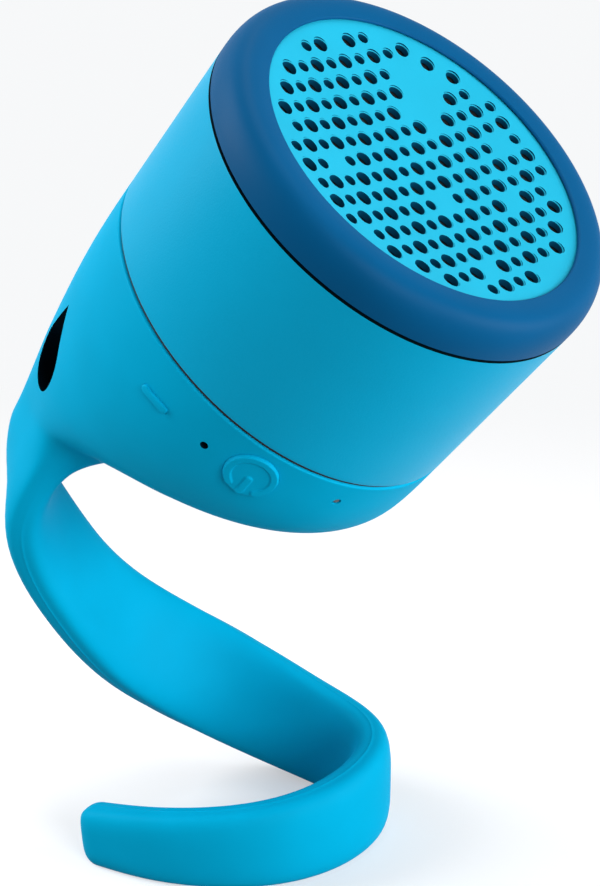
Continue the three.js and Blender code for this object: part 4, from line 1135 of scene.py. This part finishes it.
def hole_cutters():
    """All the holes as one mesh of round punches, each with a softly flared mouth."""
    angles = np.linspace(0, 2 * np.pi, HOLE_SIDES, endpoint=False)
    flare = HOLE_FLARE
    points, faces = [], []
    for x, y, size in hole_places():
        top = GRILLE_TOP - dish_drop(math.hypot(x, y))
        levels = [(size / 2, top - GRILLE_PUNCH_DEPTH), (size / 2, top - flare)]
        levels += [(size / 2 + flare * (1 - math.cos(t)), top - flare + flare * math.sin(t))
                   for t in np.linspace(0, np.pi / 2, FLARE_STEPS)[1:]]
        levels.append((size / 2 + flare, top + CUT_PAST))
        start = len(points)
        points += [(x + r * math.cos(t), y + r * math.sin(t), z) for r, z in levels for t in angles]
        faces += [[start + v for v in face] for face in grid_faces(len(levels), HOLE_SIDES)]
    return make_object("punches", from_drum(points), faces)


def on_hole_wall(place, normal):
    steep = np.abs(normal[:, 2]) < HOLE_WALL_SLOPE
    return steep & (np.hypot(place[:, 0], place[:, 1]) < BEZEL_INNER)


def make_grille():
    radii = np.linspace(0, GRILLE_RADIUS, GRILLE_RINGS)[1:]
    outline = [(0, GRILLE_TOP - dish_drop(0))]
    outline += [(r, GRILLE_TOP - dish_drop(r)) for r in radii]
    back = [(r, GRILLE_TOP - GRILLE_THICKNESS - dish_drop(r)) for r in radii[::-1]]
    outline += back + [(0, GRILLE_TOP - GRILLE_THICKNESS - dish_drop(0))]
    plate = turned_solid("grille_plate", outline)
    carved(plate, hole_cutters())
    plate.data.shade_smooth()
    plate.data.set_sharp_from_angle(angle=GRILLE_SHARP)
    dress(plate, "grille_blue", "drum")
    # Painted shade: the holes' steep walls get a darker blue
    darken(plate, "hole_shade", on_hole_wall)
    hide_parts("grille")


# Buttons, lamp and flap

def smooth_step(value, low, high):
    t = np.clip((value - low) / (high - low), 0, 1)
    return t * t * (3 - 2 * t)


def power_relief(x, y):
    """The raised ring with an opening at the bottom, and the bar that runs out of it."""
    radius = np.hypot(x, y)
    middle = POWER_RADIUS - SYMBOL_STROKE / 2
    angle = np.arctan2(x, -y)
    opening = SYMBOL_OPENING
    end_x, end_y = middle * math.sin(opening), -middle * math.cos(opening)
    to_end = np.hypot(np.abs(x) - end_x, y - end_y)
    arc = np.where(np.abs(angle) > opening, np.abs(radius - middle), to_end)
    past_bar = np.abs(y + POWER_RADIUS / 2) - POWER_RADIUS / 2 + SYMBOL_STROKE / 2
    bar = np.hypot(x, np.clip(past_bar, 0, None))
    distance = np.minimum(arc, bar) - SYMBOL_STROKE / 2
    return SYMBOL_RISE * (1 - smooth_step(distance, *SYMBOL_SOFT))


def make_cap(name, node, body, angle, reach, relief, rings, crown=0.0):
    """A button cap: its face follows the drum, with a soft edge and a relief on it."""
    sides, edge = AROUND, CAP_EDGE
    angles = np.linspace(0, 2 * np.pi, sides, endpoint=False)
    bound = reach(angles)
    shares = np.sin(np.linspace(0, np.pi / 2, rings + 1))[1:]
    rows = []
    for share in shares:
        x, y = bound * share * np.cos(angles), bound * share * np.sin(angles)
        inside = bound * (1 - share)
        drop = edge - np.sqrt(np.clip(edge**2 - np.clip(edge - inside, 0, edge) ** 2, 0, None))
        height = BODY_RADIUS + BUTTON_RISE - drop + relief(x, y) + crown * (1 - share**2)
        rows.append(np.stack([x, y, np.sqrt(height**2 - x**2)], 1))
    x, y = bound * np.cos(angles), bound * np.sin(angles)
    rows.append(np.stack([x, y, np.full_like(x, CAP_BACK)], 1))
    points = np.concatenate(rows)
    faces = grid_faces(len(rows), sides, caps=False)
    top = BODY_RADIUS + BUTTON_RISE + relief(np.zeros(1), np.zeros(1))[0] + crown
    points = np.concatenate([points, [(0, 0, top), (0, 0, CAP_BACK)]])
    centre, back, last = len(points) - 2, len(points) - 1, (len(rows) - 1) * sides
    faces += [[(j + 1) % sides, j, centre] for j in range(sides)]
    faces += [[last + j, last + (j + 1) % sides, back] for j in range(sides)]
    cap = make_object(name, facing(angle, CONTROL_HEIGHT)(points), faces)
    dress(cap, "blue_silicone", body)
    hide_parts(node)


def no_relief(x, y):
    return np.zeros_like(x)


def make_controls():
    make_cap("power_cap", "power_button", "power_button", POWER_ANGLE,
             lambda t: np.full_like(t, POWER_RADIUS), power_relief, POWER_CAP_RINGS)
    make_cap("minus_cap", "volume_down_button", "volume_down_button", VOLUME_ANGLE,
             bar_radius, no_relief, BAR_CAP_RINGS, BAR_CROWN)
    make_cap("plus_cap", "volume_up_button", "volume_up_button", -VOLUME_ANGLE,
             plus_radius, no_relief, BAR_CAP_RINGS, BAR_CROWN)
    top = BODY_RADIUS - LAMP_SINK
    dome = [(LAMP_RADIUS * math.sin(t), top - LAMP_DOME * (1 - math.cos(t)))
            for t in np.linspace(0, np.pi / 2, LAMP_DOME_STEPS)]
    lens = turned_solid("lamp_lens", [*dome, (LAMP_RADIUS, LAMP_BACK), (0, LAMP_BACK)],
                        SMALL_SIDES, facing(LAMP_ANGLE, CONTROL_HEIGHT))
    dress(lens, "lamp_clear", "drum")
    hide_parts("lamp_pipe")


def make_flap():
    """A thin panel that follows the drum, with soft corners and edges."""
    outline = bar_outline(FLAP_WIDTH, FLAP_HEIGHT, FLAP_CORNER, steps=8)
    base = np.array(outline)
    edge = FLAP_EDGE
    near, far = FLAP_RING_SHARES
    rows = []
    for inset, depth in [(edge - edge * math.sin(t), edge - edge * math.cos(t))
                         for t in np.linspace(0, np.pi / 2, FILLET_STEPS)]:
        shrink = 1 - inset / np.array((FLAP_WIDTH / 2, FLAP_HEIGHT / 2))
        ring = base * shrink
        rows.append(np.column_stack([ring, wrapped(ring, BODY_RADIUS - depth)]))
    rows.append(np.column_stack([base, wrapped(base, BODY_RADIUS - FLAP_THICKNESS)]))
    face = [rows[0][:, :2] * s for s in np.linspace(near, far, FLAP_FACE_RINGS)]
    inner = [np.column_stack([ring, wrapped(ring, BODY_RADIUS)]) for ring in face]
    behind = [base * s for s in np.linspace(far, near, FLAP_BACK_RINGS)]
    behind = [np.column_stack([ring, wrapped(ring, BODY_RADIUS - FLAP_THICKNESS)]) for ring in behind]
    rings = np.array([*inner, *rows, *behind])
    panel = make_object("flap_panel", facing(math.pi, FLAP_MIDDLE)(rings.reshape(-1, 3)),
                        grid_faces(len(rings), len(outline)))
    dress(panel, "blue_silicone", "port_flap")
    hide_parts("port_flap")


camera()
studio()
dress_cad_nodes()
make_skin()
make_sleeve()
make_bezel()
make_grille()
make_controls()
make_flap()
